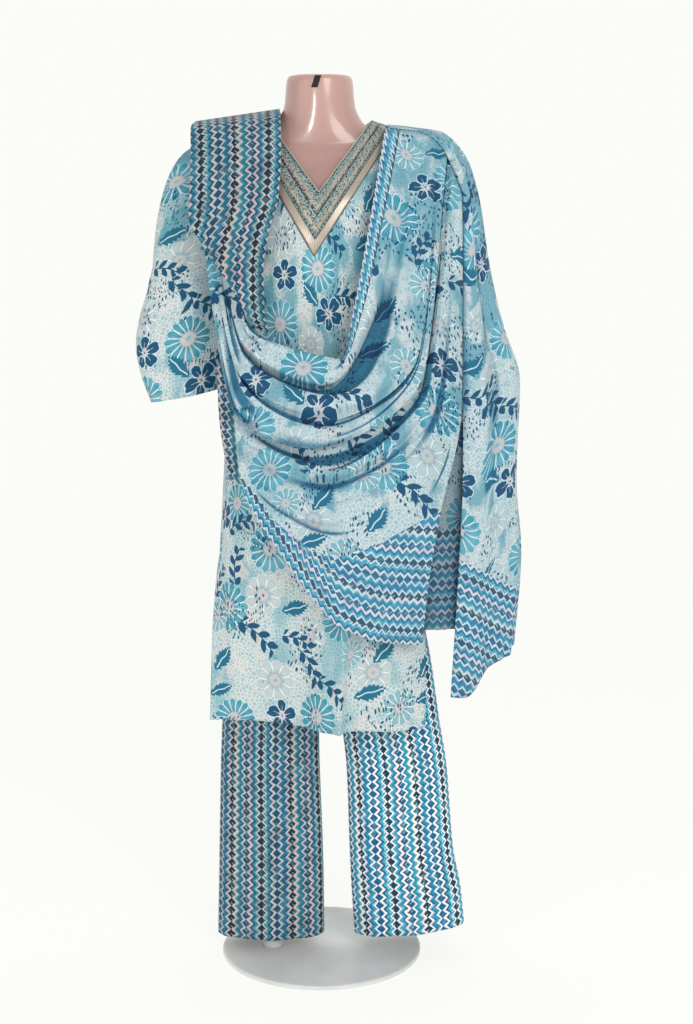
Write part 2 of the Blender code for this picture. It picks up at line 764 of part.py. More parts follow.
def arm_point(s, t):
    """Point of the arm fall: s from the front edge round to the back."""
    places = [k / (len(ARM_ROWS) - 1) for k in range(len(ARM_ROWS))]
    lines = []
    for edge in (2, 3, 4):
        lines.append([float(smooth(places, [row[edge][k] * MM for row in ARM_ROWS], t))
                      for k in range(3)])
    front, outer, back = lines
    if s < 0.5:
        edge, turn = arm_front_edge(t, front, outer), s * math.pi
    else:
        edge, turn = back, (1 - s) * math.pi
    x = mix(edge[0], outer[0], math.sin(turn))
    y = mix(edge[1], outer[1], 1 - math.cos(turn))
    z = mix(edge[2], outer[2], math.sin(turn))
    wave = ARM_FOLD_DEPTH * math.sin(2 * math.pi * ARM_FOLDS * s)
    wave *= ease((t - 0.35) * 2.5) * math.sin(math.pi * s)
    way = 1 if s < 0.5 else -1
    return x + wave * math.sin(turn), y - wave * math.cos(turn) * way, z


def build_arm_fall():
    rows, cols = 23, 17
    points = np.zeros((rows, cols, 3))
    for i in range(rows):
        for j in range(cols):
            points[i, j] = arm_point(j / (cols - 1), i / (rows - 1))
    wall("dupatta_right_arm", points, (0.28, 0.58, 0.70))


clear_scene()
build_form()
build_form_tab()
build_stand()
build_kurta_body()
neck_band("kurta_neck_band_front", V_INNER_Z, V_OUTER_Z, V_CURVE, 2, -1,
          FRONT_BAND_LIFT, 33, 4)
neck_band("kurta_neck_band_back", NECK_POINT_Z - BACK_NECK_DROP,
          NECK_POINT_Z - BACK_NECK_DROP - BAND_WIDTH_AT_SHOULDER, SCOOP_CURVE, 3, 1,
          BACK_BAND_LIFT, 23, 4)
build_sleeve("kurta_sleeve_left", 1, 1.0)
build_sleeve("kurta_sleeve_right", -1, RIGHT_SLEEVE_WIDTH)
build_leg("trousers_leg_left", LEFT_LEG, -1, 0.0)
build_leg("trousers_leg_right", RIGHT_LEG, 1, RIGHT_HEM_RISE)
build_waistband()
build_front_folds("dupatta_cowl", COWL_ROWS, 13)
build_front_folds("dupatta_apron", APRON_ROWS, 17)
build_strip("dupatta_left_shoulder", SHOULDER_ROWS, 16, 13, SHOULDER_PLEATS,
            SHOULDER_PLEAT_DEPTH, -1, (0.25, 0.50, 0.62))
build_strip("dupatta_back", BACK_ROWS, 11, 17, BACK_PLEATS,
            BACK_PLEAT_DEPTH, 1, (0.28, 0.58, 0.70))
build_strip("dupatta_under", UNDER_ROWS, 8, 9, 2,
            UNDER_FOLD_DEPTH, 1, (0.08, 0.24, 0.38))
build_strip("dupatta_side", SIDE_ROWS, 6, 4, 1, 0.0, 1, (0.12, 0.36, 0.50))
build_arm_fall()
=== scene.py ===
"""Looks of the kurta set on its dress form.

Each piece of cloth is a thin shell on its solid's form, worked out from the same
tables at a finer spacing, with softer creases added and a print laid in metres.
Metres, +Z up, the front faces -Y, left and right as seen from the front.
"""
import bpy
import math
import numpy as np
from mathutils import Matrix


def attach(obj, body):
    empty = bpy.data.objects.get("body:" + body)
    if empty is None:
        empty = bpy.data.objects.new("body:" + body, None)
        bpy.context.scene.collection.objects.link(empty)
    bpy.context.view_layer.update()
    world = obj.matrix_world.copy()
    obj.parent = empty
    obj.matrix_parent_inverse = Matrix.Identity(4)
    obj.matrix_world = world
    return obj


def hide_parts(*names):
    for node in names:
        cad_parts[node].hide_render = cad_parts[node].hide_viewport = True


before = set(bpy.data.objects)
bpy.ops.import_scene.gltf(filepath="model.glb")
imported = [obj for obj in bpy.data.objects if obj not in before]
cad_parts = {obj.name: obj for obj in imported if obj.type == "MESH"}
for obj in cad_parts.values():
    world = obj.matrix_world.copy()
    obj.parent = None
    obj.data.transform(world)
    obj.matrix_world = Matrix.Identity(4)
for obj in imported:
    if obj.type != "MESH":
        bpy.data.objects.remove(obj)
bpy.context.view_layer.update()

MM = 0.001
ROOT = "root"

# Sizes shared with the solids
SEAM = 0.3 * MM
SHOULDER_TIP_Z = 1.402
NECK_POINT_Z = 1.437
ARMHOLE_Z = 1.235
KURTA_HEM_Z = 0.440
SLIT_TOP_Z = 0.715
FLARE_TOP_Z = 0.810
WAIST_Z = 0.982
WAISTBAND_HEIGHT = 0.0255
CROTCH_Z = 0.705
TROUSER_HEM_Z = 0.034
RIGHT_HEM_RISE = 0.018
NECK_HALF_WIDTH = 0.083
ARMHOLE_HOLLOW = 0.018
V_INNER_Z = 1.321
V_OUTER_Z = 1.221
V_TIP_LEAN = 8 * MM
BAND_WIDTH_AT_SHOULDER = 0.042
BACK_NECK_DROP = 0.030
V_CURVE = 1.0
SCOOP_CURVE = 2.2
BAND_LIFT_FRONT = 2.0 * MM
BAND_LIFT_BACK = 3.1 * MM
NECK_PLACE = 0.36
TIP_PLACE = 0.64
BASE_RADIUS = 0.175
BASE_THICK = 0.008
POLE_RADIUS = 0.011
POLE_X = -0.086
SOCKET_RADIUS = 0.019
SOCKET_HEIGHT = 0.022
FORM_BOTTOM_Z = 0.780
RIGHT_SLEEVE_WIDTH = 0.88
SLEEVE_GAP = 1.8 * MM
SLEEVE_HEAD_END = 0.40
SLEEVE_HEAD_BEND = (0.86, 0.8, 0.02)
SHOULDER_PLEATS = 3
SHOULDER_PLEAT_DEPTH = 5 * MM
BACK_PLEATS = 4
BACK_PLEAT_DEPTH = 8 * MM
UNDER_FOLD_DEPTH = 4 * MM
FOLD_JOIN_GAP = 1.0 * MM
ARM_FOLDS = 4
ARM_FOLD_DEPTH = 7 * MM
CLOTH_THICK = 0.8 * MM
ARM_AXIS_X = 0.20
STRAP_X = -0.006
STRAP_TOP_Z = 1.5085
STRAP_FOOT_Z = 1.4895
STRAP_HALF_WIDTH = 5.0 * MM
STRAP_LEAN = -0.32
POLE_JOINT_Z = 0.42

# Sizes of the prints: pebbles and seeds to a metre, and the weave's thread spacing
PEBBLES = 150.0
THREAD_SPACING = 0.9 * MM
# How turquoise the scarf's ground is and how bright its stripes are
SCARF_DEPTH = 0.20
SCARF_BRIGHT = 1.28

# Bare form: height, half width, front depth, back depth (millimetres)
FORM_ROWS = (
    (780, 108, 74, 82), (792, 128, 90, 98), (822, 144, 101, 111), (870, 150, 104, 112),
    (920, 143, 101, 100), (985, 129, 94, 86), (1060, 119, 88, 80), (1150, 132, 100, 86),
    (1235, 148, 114, 92), (1300, 154, 104, 93), (1350, 163, 82, 88), (1378, 166, 64, 75),
    (1392, 158, 54, 64), (1404, 134, 50, 57), (1414, 106, 50, 54), (1426, 82, 50, 53),
    (1442, 67, 50, 52), (1464, 58, 50, 51), (1502, 54, 49, 50), (1509, 51, 46, 47),
    (1511, 46, 42, 43),
)

# Kurta: height, half width, front depth, back depth (millimetres)
KURTA_ROWS = (
    (440, 182, 128, 122), (580, 179, 126, 122), (700, 173, 124, 122), (850, 164, 123, 124),
    (960, 158, 118, 112), (1060, 148, 109, 99), (1150, 153, 117, 101), (1235, 164, 126, 105),
    (1300, 170, 118, 105), (1350, 178, 97, 99), (1385, 187, 78, 88), (1402, 185, 70, 79),
    (1412, 162, 65, 72), (1424, 124, 63, 68), (1437, 84, 62, 65), (1445, 70, 61, 63),
)

# Plan of the kurta's hem: place across, x and y (millimetres)
FRONT_HEM = (
    (-1.00, -188, -66), (-0.87, -164, -62), (-0.68, -130, -66), (-0.52, -100, -70),
    (-0.17, -36, -103), (0.19, 30, -157), (0.29, 46, -136), (0.45, 76, -131), (0.64, 110, -136),
    (1.00, 176, -114),
)
BACK_HEM = (
    (-1.00, -188, 24), (-0.70, -136, 92), (-0.42, -80, 112), (-0.15, -26, 138), (0.12, 26, 120),
    (0.40, 80, 140), (0.70, 140, 110), (1.00, 184, 74),
)

# Sleeve on the left: length, inner x, middle y and z, half width and depth (mm)
SLEEVE_ROWS = (
    (0.00, -164, 0, 1322, 40, 50), (0.25, -171, -1, 1246, 47, 52), (0.50, -169, -2, 1160, 59, 51),
    (0.76, -176, -4, 1070, 66, 48), (1.00, -168, -8, 988, 59, 42),
)

# Leg below the crotch: height, middle x, half width, half depth (millimetres)
LEFT_LEG = (
    (34, -89.5, 94, 44), (180, -88.5, 91, 46), (340, -89, 86, 50), (480, -86, 82, 56),
    (600, -82, 79, 64), (705, -80, 78.3, 74),
)
RIGHT_LEG = (
    (34, 155, 97, 44), (100, 150, 96, 45), (180, 141, 91, 46), (340, 131, 87, 50),
    (420, 120, 85, 54), (530, 106, 83, 60), (620, 92, 80, 66), (705, 80, 78.3, 74),
)
# Hips of the trousers: height, half width, front depth, back depth (millimetres)
HIP_ROWS = (
    (705, 158, 74, 74), (730, 159, 100, 106), (770, 158, 109, 118), (860, 157, 111, 119),
    (920, 149, 108, 107), (956, 137.5, 99.5, 94.8),
)

# Folds of the scarf across the front, from the top edge down (millimetres):
# five points (x, z), how far the fold stands out, how far it is set back
COWL_ROWS = (
    ("lip", (-166, 1404), (-106, 1106), (35, 1062), (58, 1155), (106, 1424), 16, 0),
    ("roll_1", (-173, 1403), (-116, 1092), (15, 1036), (76, 1128), (132, 1422), 28, 0),
    ("trough_1", (-180, 1400), (-124, 1074), (5, 1011), (98, 1126), (162, 1418), 0, 0),
    ("roll_2", (-186, 1396), (-123, 1046), (23, 992), (140, 1060), (182, 1408), 30, 0),
    ("trough_2", (-192, 1391), (-120, 1020), (5, 962), (150, 1051), (194, 1398), 8, 0),
    ("roll_3", (-198, 1384), (-121, 994), (12, 942), (156, 1040), (201, 1388), 24, 0),
    ("lip_3", (-204, 1372), (-132, 968), (-12, 920), (161, 1018), (206, 1378), 20, 0),
)
APRON_ROWS = (
    ("tucked", (-137, 984), (-114, 962), (-8, 930), (163, 1024), (208, 1376), 6, 7),
    ("trough_3", (-137, 962), (-112, 942), (-8, 904), (167, 1002), (211, 1368), 3, 3),
    ("roll_4", (-136, 940), (-96, 918), (21, 886), (175, 992), (217, 1354), 22, 0),
    ("trough_4", (-134, 915), (-86, 880), (13, 856), (185, 974), (224, 1338), 6, 0),
    ("roll_5", (-132, 893), (-72, 840), (30, 816), (195, 950), (231, 1310), 18, 0),
    ("fall", (-130, 877), (-64, 818), (33, 786), (190, 868), (234, 990), 12, 0),
    ("band_top", (-128, 864), (-58, 800), (36, 750), (138, 782), (200, 810), 16, 0),
    ("band_low", (-127, 853), (-66, 778), (39, 690), (128, 692), (180, 692), 10, 0),
    ("hem", (-126, 842), (-72, 758), (40, 622), (123, 593), (169, 586), 15, 0),
)
FRONT_REST = (
    (560, 160), (950, 156), (1100, 150), (1220, 147), (1300, 131), (1350, 112), (1400, 84),
    (1440, 62),
)
FRONT_REST_HALF_WIDTH = 0.262
# Where the five points of a fold lie across, and each one's share of its lift
FOLD_PLACES = (0.0, 0.27, 0.52, 0.78, 1.0)
LIFT_ACROSS = (0.06, 0.32, 1.0, 0.6, 0.3)
FOLD_GRID = 170

# Left and right edge of each hanging stretch of the scarf (millimetres)
SHOULDER_ROWS = (
    ("ridge", (-204, 0, 1438), (-66, 0, 1458)),
    ("front_top", (-207, -54, 1426), (-62, -64, 1443)),
    ("chest", (-205, -94, 1372), (-60, -106, 1384)),
    ("armpit", (-207, -122, 1286), (-64, -134, 1312)),
    ("slant", (-184, -146, 1240), (-78, -154, 1260)),
    ("narrow", (-144, -172, 1184), (-86, -174, 1200)),
    ("neck", (-116, -178, 1136), (-86, -168, 1140)),
    ("tuck", (-98, -150, 1108), (-79, -146, 1100)),
)
BACK_ROWS = (
    ("ridge", (-204, 1, 1438), (-66, 1, 1458)),
    ("back_top", (-204, 58, 1421), (-62, 68, 1436)),
    ("blade", (-198, 89, 1350), (-56, 98.6, 1356)),
    ("waist", (-172, 103, 1130), (-38, 110, 1128)),
    ("seat", (-146, 122, 930), (-18, 128, 926)),
    ("end", (-140, 130, 800), (-10, 137, 790)),
)
UNDER_ROWS = (
    ("top", (150, -106, 985), (256, -61.8, 1005)),
    ("middle", (148, -112, 860), (258, -64, 860)),
    ("low", (148, -114, 720), (256, -68, 720)),
    ("hem", (152, -112, 606), (250, -70, 600)),
)
SIDE_ROWS = (
    ("top", (-166, -108, 1048), (-124, -127, 1030)),
    ("middle", (-163, -114, 965), (-120, -131, 950)),
    ("foot", (-150, -114, 868), (-116, -131, 846)),
)

# Fall over the right arm: the fold row it meets, then front edge, outermost line
# and back edge (millimetres)
ARM_ROWS = (
    ("neck", 0.0, (106, -52, 1424), (112, 4, 1432.5), (110, 70, 1412)),
    ("middle", 1.7, (150, -52, 1421), (154, 4, 1428), (150, 80, 1398)),
    ("tip", 3.6, (192, -64, 1400), (199, 4, 1421), (194, 92, 1380)),
    ("cap", 7.0, (211, -73, 1368), (237, 4, 1380), (212, 97, 1350)),
    ("upper", 10.0, (231, -84, 1310), (260, 4, 1310), (228, 100, 1296)),
    ("biceps", 10.4, (234, -96, 1205), (279, 2, 1205), (234, 103, 1196)),
    ("elbow", 10.7, (234, -104, 1102), (306, 0, 1100), (238, 105, 1090)),
    ("forearm", 11.0, (236, -74, 990), (333, 0, 1004), (240, 104, 1000)),
    ("free", None, (236, -84, 860), (329, 0, 850), (240, 102, 860)),
    ("band_top", None, (230, -90, 690), (339, 0, 700), (238, 100, 700)),
    ("hem", None, (219, -90, 470), (329, 0, 541), (234, 96, 560)),
)


def srgb(red, green, blue):
    """Linear colour from 0 to 255 screen values."""
    parts = []
    for value in (red, green, blue):
        v = value / 255
        parts.append(v / 12.92 if v <= 0.04045 else ((v + 0.055) / 1.055) ** 2.4)
    return (*parts, 1.0)


def darker(colour, share):
    """The colour with each of its parts reduced to a share."""
    return (*(part * share for part in colour[:3]), 1.0)


# Colours of the prints
GROUND = srgb(194, 208, 208)
GROUND_BLUE = srgb(136, 184, 194)
GROUND_PINK = srgb(218, 212, 208)
PEBBLE_LINE = srgb(236, 242, 242)
TURQUOISE = srgb(62, 154, 174)
TEAL = srgb(26, 122, 148)
MID_BLUE = srgb(6, 98, 142)
DARK_BLUE = srgb(0, 82, 120)
NAVY = srgb(0, 44, 68)
LIGHT_TEAL = srgb(116, 190, 204)
STRIPE_WHITE = srgb(216, 214, 214)
PALE_LINE = srgb(214, 230, 236)
PINK_WHITE = srgb(226, 208, 204)
DARK_TEAL = srgb(22, 112, 142)
WHITE_LINE = srgb(240, 243, 243)
# The scarf's stripes show softer, and painted shade darkens it towards turquoise in its hollows and
# in the gaps between its layers
SHEER_BLUE = srgb(104, 168, 196)
SCARF_TINT = srgb(234, 244, 250)
HOLLOW_PAINTED_SHADE = srgb(62, 138, 170)
TRIM_LIGHT_SPECK = srgb(188, 206, 198)
TRIM_DARK_SPECK = srgb(26, 52, 66)
SATIN = srgb(196, 182, 166)
SATIN_SHADE = srgb(150, 138, 126)
TUBE_GREY = srgb(198, 200, 203)

# Charted stripes of the zigzag: width in millimetres and colour. Boundaries of the
# second chart swing the other way, and where it is None the first one shows, so
# chains of diamonds form where the two meet. The third chart holds pale dashes.
ZIGZAG_PERIOD = 14.6 * MM
ZIGZAG_SWING = 3.8 * MM
STRIPES = (
    (5.2, STRIPE_WHITE), (4.6, DARK_BLUE), (6.0, TURQUOISE), (3.8, STRIPE_WHITE), (18.4, NAVY),
    (18.0, DARK_BLUE), (3.8, STRIPE_WHITE), (6.6, TEAL), (3.6, TURQUOISE), (5.6, PINK_WHITE),
    (18.4, NAVY), (18.0, DARK_BLUE),
)
COUNTER_STRIPES = (
    (28.0, None), (3.8, STRIPE_WHITE), (4.6, TURQUOISE), (5.6, MID_BLUE), (5.6, PINK_WHITE),
    (36.4, None), (3.8, STRIPE_WHITE), (6.0, MID_BLUE), (6.0, TEAL), (3.8, STRIPE_WHITE),
    (8.4, None),
)
DASHES = (
    (16.0, None), (1.1, PALE_LINE), (36.0, None), (1.0, PALE_LINE), (22.0, None), (1.1, PALE_LINE),
    (12.0, None), (1.1, PALE_LINE), (8.0, None), (1.1, PALE_LINE), (12.6, None),
)
# Bands of thread across the neck trim, from the neck outward (42 mm in all)
TRIM_LANES = (
    (3.0, srgb(70, 96, 102)),
    (5.6, srgb(138, 158, 156)),
    (4.2, srgb(190, 164, 152)),
    (3.0, srgb(52, 76, 86)),
    (6.6, srgb(146, 164, 162)),
    (4.2, srgb(188, 176, 152)),
    (15.4, srgb(104, 126, 128)),
)

# One repeat of the flowered print: x, y, size, turn of each motif (metres, degrees)
REPEAT = (0.40, 0.37)
DAISIES = (
    (-0.178, 0.196, 0.043, 5), (-0.004, 0.024, 0.040, 12), (-0.165, 0.004, 0.034, 0),
    (0.040, 0.190, 0.036, 20), (0.138, 0.285, 0.042, 8), (-0.090, 0.305, 0.041, 15),
)
SMALL_DAISIES = (
    (0.066, 0.132, 0.024, 0), (0.160, 0.040, 0.030, 10), (0.190, 0.178, 0.028, 6),
)
LINE_DAISIES = (
    (-0.090, 0.075, 0.036, 0), (0.075, 0.245, 0.036, 10), (-0.020, 0.272, 0.030, 4),
    (0.110, 0.100, 0.032, 20), (-0.105, 0.225, 0.036, 12), (-0.020, 0.162, 0.033, 30),
)
BLOSSOMS = (
    (-0.080, 0.014, 0.029, 20), (0.020, 0.322, 0.031, 50), (0.190, 0.350, 0.029, 35),
)
SPRIGS = (
    (-0.118, 0.150, 0.042, -38), (-0.040, 0.148, 0.034, -20), (-0.014, 0.098, 0.040, -62),
    (0.028, 0.070, 0.034, -38), (-0.160, 0.270, 0.036, 80), (0.095, 0.210, 0.034, 110),
    (0.070, 0.345, 0.036, -15), (-0.155, 0.340, 0.034, 20), (0.185, 0.238, 0.032, 60),
)
FERNS = (
    (0.126, 0.136, 0.027, 52), (0.108, 0.066, 0.028, 18), (-0.045, 0.205, 0.027, 15),
    (-0.186, 0.106, 0.027, 55), (-0.190, 0.052, 0.022, 20), (-0.020, 0.352, 0.026, 130),
)


def level_slopes(places, values):
    """Slopes that keep a curve between its points from overshooting."""
    rises = np.diff(values) / np.diff(places)
    slopes = np.concatenate([[rises[0]], np.zeros(len(rises) - 1), [rises[-1]]])
    before, after = rises[:-1], rises[1:]
    same_way = before * after > 0
    slopes[1:-1][same_way] = (2 * before * after)[same_way] / (before + after)[same_way]
    return slopes


def smooth(places, values, at):
    """Cubic curve through a table's points, held level past its ends."""
    places = np.asarray(places, float)
    values = np.asarray(values, float)
    order = np.argsort(places)
    places = places[order]
    values = values[order]
    at = np.clip(np.asarray(at, float), places[0], places[-1])
    slopes = level_slopes(places, values)
    cell = np.clip(np.searchsorted(places, at, side="right") - 1, 0, len(places) - 2)
    span = places[cell + 1] - places[cell]
    t = (at - places[cell]) / span
    rise = 2 * t**3 - 3 * t**2
    return (
        (rise + 1) * values[cell]
        + (t**3 - 2 * t**2 + t) * span * slopes[cell]
        - rise * values[cell + 1]
        + (t**3 - t**2) * span * slopes[cell + 1]
    )


def read_rows(values, at, places=None):
    """Curve through millimetre values, read in metres; even places unless given."""
    if places is None:
        places = np.arange(len(values)) / (len(values) - 1)
    return smooth(places, np.array(values) * MM, at)


def column(rows, index, z):
    """One column of a millimetre table, read in metres at height z."""
    return read_rows([row[index] for row in rows], z, [row[0] * MM for row in rows])


def ease(t):
    """0 up to 1, slow at both ends and held past them."""
    t = np.clip(t, 0.0, 1.0)
    return t * t * (3 - 2 * t)


def mix(a, b, t):
    return a + (b - a) * t


def xyz(x, y, z):
    """Points from their coordinates."""
    return np.stack(np.broadcast_arrays(x, y, z), axis=-1)


def unit(vectors):
    return vectors / np.maximum(np.linalg.norm(vectors, axis=-1, keepdims=True), 1e-12)


def circle(count):
    """Angles once round, evenly spaced."""
    return np.linspace(0, 2 * math.pi, count, endpoint=False)


def grid_normals(points, closed):
    """Unit normals of a grid of points, rows first."""
    down = np.gradient(points, axis=0)
    if closed:
        across = (np.roll(points, -1, axis=1) - np.roll(points, 1, axis=1)) / 2
    else:
        across = np.gradient(points, axis=1)
    return unit(np.cross(across, down))


def run_length(points, axis):
    """Length along a grid's rows or columns, from the first point."""
    steps = np.linalg.norm(np.diff(points, axis=axis), axis=2)
    pad = [(0, 0), (0, 0)]
    pad[axis] = (1, 0)
    return np.pad(np.cumsum(steps, axis=axis), pad)


def path_length(path):
    """Length along a path of points, from the first."""
    return run_length(path[None], 1)[0]


def even_grid(rows, cols):
    """Places down and across a grid, both from 0 to 1."""
    return np.meshgrid(np.linspace(0, 1, rows), np.linspace(0, 1, cols), indexing="ij")


def ripple(s, t, seed, strength):
    """Small uneven waves of the cloth, the same on every run."""
    turn = np.random.default_rng(seed)
    total = np.zeros_like(s)
    for k in range(7):
        across, down = turn.uniform(3, 16), turn.uniform(2, 12)
        bend = turn.uniform(0.5, 2.0)
        phase = turn.uniform(0, 2 * math.pi, 2)
        swerve = bend * np.sin(down * 0.6 * t + phase[1])
        total += np.sin(across * s + swerve + down * t + phase[0]) / (1 + 0.35 * k)
    return total * strength / 2.2


def creases(s, t, table):
    """Soft ridges and troughs along curved paths.

    Each row: "down" or "across", places at the start, middle and end of the path,
    half width, height in millimetres, and the stretch of the path it fills. "lap"
    and "lift" run across too, with a crisp lower or upper edge over a hollow.
    """
    total = np.zeros_like(s)
    for way, start, middle, end, width, height, first, last in table:
        along, over = (t, s) if way == "down" else (s, t)
        path = smooth((0, 0.5, 1), (start, middle, end), along)
        span = ease((along - first) / 0.12) * ease((last - along) / 0.12)
        away = (over - path) / width
        ridge = np.exp(-(away**2))
        if way in ("lap", "lift"):
            crisp = 1.4 * np.exp(-((away / 0.25) ** 2)) - 0.4 * np.exp(-((away / 0.9) ** 2))
            ridge = np.where(away * (1 if way == "lap" else -1) > 0, crisp, ridge)
        total += height * MM * span * ridge
    return total


def make_mesh(name, verts, faces, materials, layers=None, smooth_shaded=True):
    """Mesh object from arrays; layers gives named UV maps, one pair per corner."""
    mesh = bpy.data.meshes.new(name)
    faces = np.asarray(faces, np.int32)
    count, sides = faces.shape
    mesh.vertices.add(len(verts))
    mesh.vertices.foreach_set("co", np.asarray(verts, np.float32).ravel())
    mesh.loops.add(count * sides)
    mesh.loops.foreach_set("vertex_index", faces.ravel())
    mesh.polygons.add(count)
    mesh.polygons.foreach_set("loop_start", np.arange(0, count * sides, sides, dtype=np.int32))
    mesh.polygons.foreach_set("loop_total", np.full(count, sides, np.int32))
    mesh.update(calc_edges=True)
    for layer_name, pairs in (layers or {}).items():
        layer = mesh.uv_layers.new(name=layer_name)
        layer.data.foreach_set("uv", np.asarray(pairs, np.float32).ravel())
    mesh.polygons.foreach_set("use_smooth", np.full(count, smooth_shaded, bool))
    mesh.validate()
    thing = bpy.data.objects.new(name, mesh)
    bpy.context.scene.collection.objects.link(thing)
    for material in materials:
        mesh.materials.append(material)
    return thing


def join_body(thing, node=None):
    """Fixes a piece to the body, hiding the solid it stands in for where one is named."""
    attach(thing, ROOT)
    if node:
        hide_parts(node)
    return thing


def edge_faces(count, at, order):
    """Corners along, across and through of the narrow faces on one edge of a shell."""
    k = np.arange(count)
    along = np.stack([k, k + 1, k + 1, k], axis=1)[:, ::order]
    return along, np.full_like(along, at), np.array((0, 0, 1, 1))[::order]


def shell(node, material, points, layers, closed=False, thick=CLOTH_THICK):
    """Thin cloth shell over a grid of points, standing in for one CAD node.

    layers names (first, second) arrays, one value for each grid point; a closed
    grid repeats its first column there, so a print can run right round.
    """
    rows, cols = points.shape[:2]
    normals = grid_normals(points, closed)
    sides = [points + normals * thick / 2, points - normals * thick / 2]
    verts = np.concatenate([side.reshape(-1, 3) for side in sides])
    last = cols if closed else cols - 1
    uv_cols = last + 1
    row, col = np.meshgrid(np.arange(rows - 1), np.arange(last), indexing="ij")
    row, col = row.ravel(), col.ravel()
    corner_rows = np.stack([row, row + 1, row + 1, row], axis=1)
    corner_cols = np.stack([col, col, col + 1, col + 1], axis=1)
    face_sets = [(corner_rows, corner_cols, np.zeros(4, int)),
                 (corner_rows[:, ::-1], corner_cols[:, ::-1], np.ones(4, int))]
    for edge_row, order in ((0, 1), (rows - 1, -1)):
        along, held, side = edge_faces(last, edge_row, order)
        face_sets.append((held, along, side))
    if not closed:
        for edge_col, order in ((0, -1), (cols - 1, 1)):
            face_sets.append(edge_faces(rows - 1, edge_col, order))
    back = rows * cols
    faces = np.concatenate([r * cols + c % cols + back * side for r, c, side in face_sets])
    places = np.concatenate([r * uv_cols + c for r, c, _ in face_sets])
    uv = {key: np.stack([first.ravel()[places], second.ravel()[places]], axis=-1)
          for key, (first, second) in layers.items()}
    return join_body(make_mesh(node + "_cloth", verts, faces, [material], uv), node)


def cut_size(points, closed=False):
    """Flat width, length and area of a grid of cloth."""
    if closed:
        points = np.concatenate([points, points[:, :1]], axis=1)
    across = run_length(points, 1)[:, -1]
    down = run_length(points, 0)[-1]
    a, b = points[:-1, :-1], points[1:, 1:]
    c, d = points[1:, :-1], points[:-1, 1:]
    area = np.linalg.norm(np.cross(b - a, d - c), axis=2).sum() / 2
    width = float(across.max())
    return width, max(float(down.mean()), 1.001 * float(area) / width), float(area)


def add_cloth(node, material, points, layers, closed=False):
    """Cloth shell; the flat size of its surface is worked out but not used."""
    thing = shell(node, material, points, layers, closed)
    width, length, area = cut_size(points, closed)


class Wire:
    """An output of a shader node; arithmetic on it adds Math nodes."""

    def __init__(self, tree, socket):
        self.tree = tree
        self.socket = socket

    def node(self, kind, inputs, output=0, **settings):
        made = self.tree.nodes.new(kind)
        for key, value in settings.items():
            setattr(made, key, value)
        for key, value in inputs.items():
            if isinstance(value, Wire):
                self.tree.links.new(value.socket, made.inputs[key])
            else:
                made.inputs[key].default_value = value
        return Wire(self.tree, made.outputs[output])

    def into(self, shader, name):
        """Feeds one of the shader's sockets."""
        self.tree.links.new(self.socket, shader.inputs[name])

    def math(self, kind, second=0.0):
        return self.node("ShaderNodeMath", {0: self, 1: second}, operation=kind)

    def vector(self, kind, second=(0, 0, 0), third=(0, 0, 0), output=0):
        return self.node("ShaderNodeVectorMath", {0: self, 1: second, 2: third},
                         output, operation=kind)

    def __add__(self, other):
        return self.math("ADD", other)

    def __sub__(self, other):
        return self.math("SUBTRACT", other)

    def __mul__(self, other):
        return self.math("MULTIPLY", other)

    def __truediv__(self, other):
        return self.math("DIVIDE", other)

    def __abs__(self):
        return self.math("ABSOLUTE")

    def above(self, other):
        return self.math("GREATER_THAN", other)

    def below(self, other):
        return self.math("LESS_THAN", other)

    def flip(self):
        return self.node("ShaderNodeMath", {0: 1.0, 1: self}, operation="SUBTRACT")

    def fade(self, start, end):
        """0 at start and 1 at end, eased between them."""
        return self.node("ShaderNodeMapRange", {0: self, 1: start, 2: end, 3: 0.0, 4: 1.0},
                         interpolation_type="SMOOTHSTEP")

    def part(self, index):
        return self.node("ShaderNodeSeparateXYZ", {0: self}, index)

    def over(self, colour, mask, how="MIX"):
        """This colour with another laid over it where the mask is 1."""
        return self.node("ShaderNodeMix", {"Factor": mask, 6: self, 7: colour}, 2,
                         data_type="RGBA", blend_type=how)

    def times(self, colour, mask):
        """This colour multiplied by another where the mask is 1."""
        return self.over(colour, mask, "MULTIPLY")

    def blend(self, first, second):
        """The first colour where this is 0 and the second where it is 1."""
        return self.node("ShaderNodeMix", {"Factor": self, 6: first, 7: second}, 2,
                         data_type="RGBA")

    def either(self, other, mask):
        """This vector, or the other where the mask is 1."""
        return self.node("ShaderNodeMix", {"Factor": mask, 4: self, 5: other}, 1,
                         data_type="VECTOR")

    def noise(self, scale, detail=2.0, output=0, dimensions="2D"):
        return self.node("ShaderNodeTexNoise",
                         {"Vector": self, "Scale": scale, "Detail": detail}, output,
                         noise_dimensions=dimensions)

    def wander(self, scale, detail, reach):
        """These places moved about by a soft noise."""
        soft = self.noise(scale, detail, output=1).vector("SUBTRACT", (0.5, 0.5, 0.5))
        return soft.vector("MULTIPLY_ADD", (reach, reach, 0), self)

    def cells(self, scale, feature="F1", output=0, uneven=1.0):
        return self.node("ShaderNodeTexVoronoi",
                         {"Vector": self, "Scale": scale, "Randomness": uneven}, output,
                         voronoi_dimensions="2D", feature=feature)

    def bump(self, strength, distance):
        """Surface normal tilted by this height."""
        return self.node("ShaderNodeBump", {"Height": self, "Strength": strength,
                                            "Distance": distance})


def new_material(name):
    """Material with its shader and a helper that starts wires in its tree."""
    material = bpy.data.materials.new(name)
    material.use_nodes = True
    return material, material.node_tree.nodes["Principled BSDF"], Wire(material.node_tree, None)


def read_map(start, name):
    """Places of a named UV map."""
    return start.node("ShaderNodeUVMap", {}, uv_map=name)


def read_place(start):
    """Place in space, for textures that run through a solid."""
    return start.node("ShaderNodeNewGeometry", {}, 0)


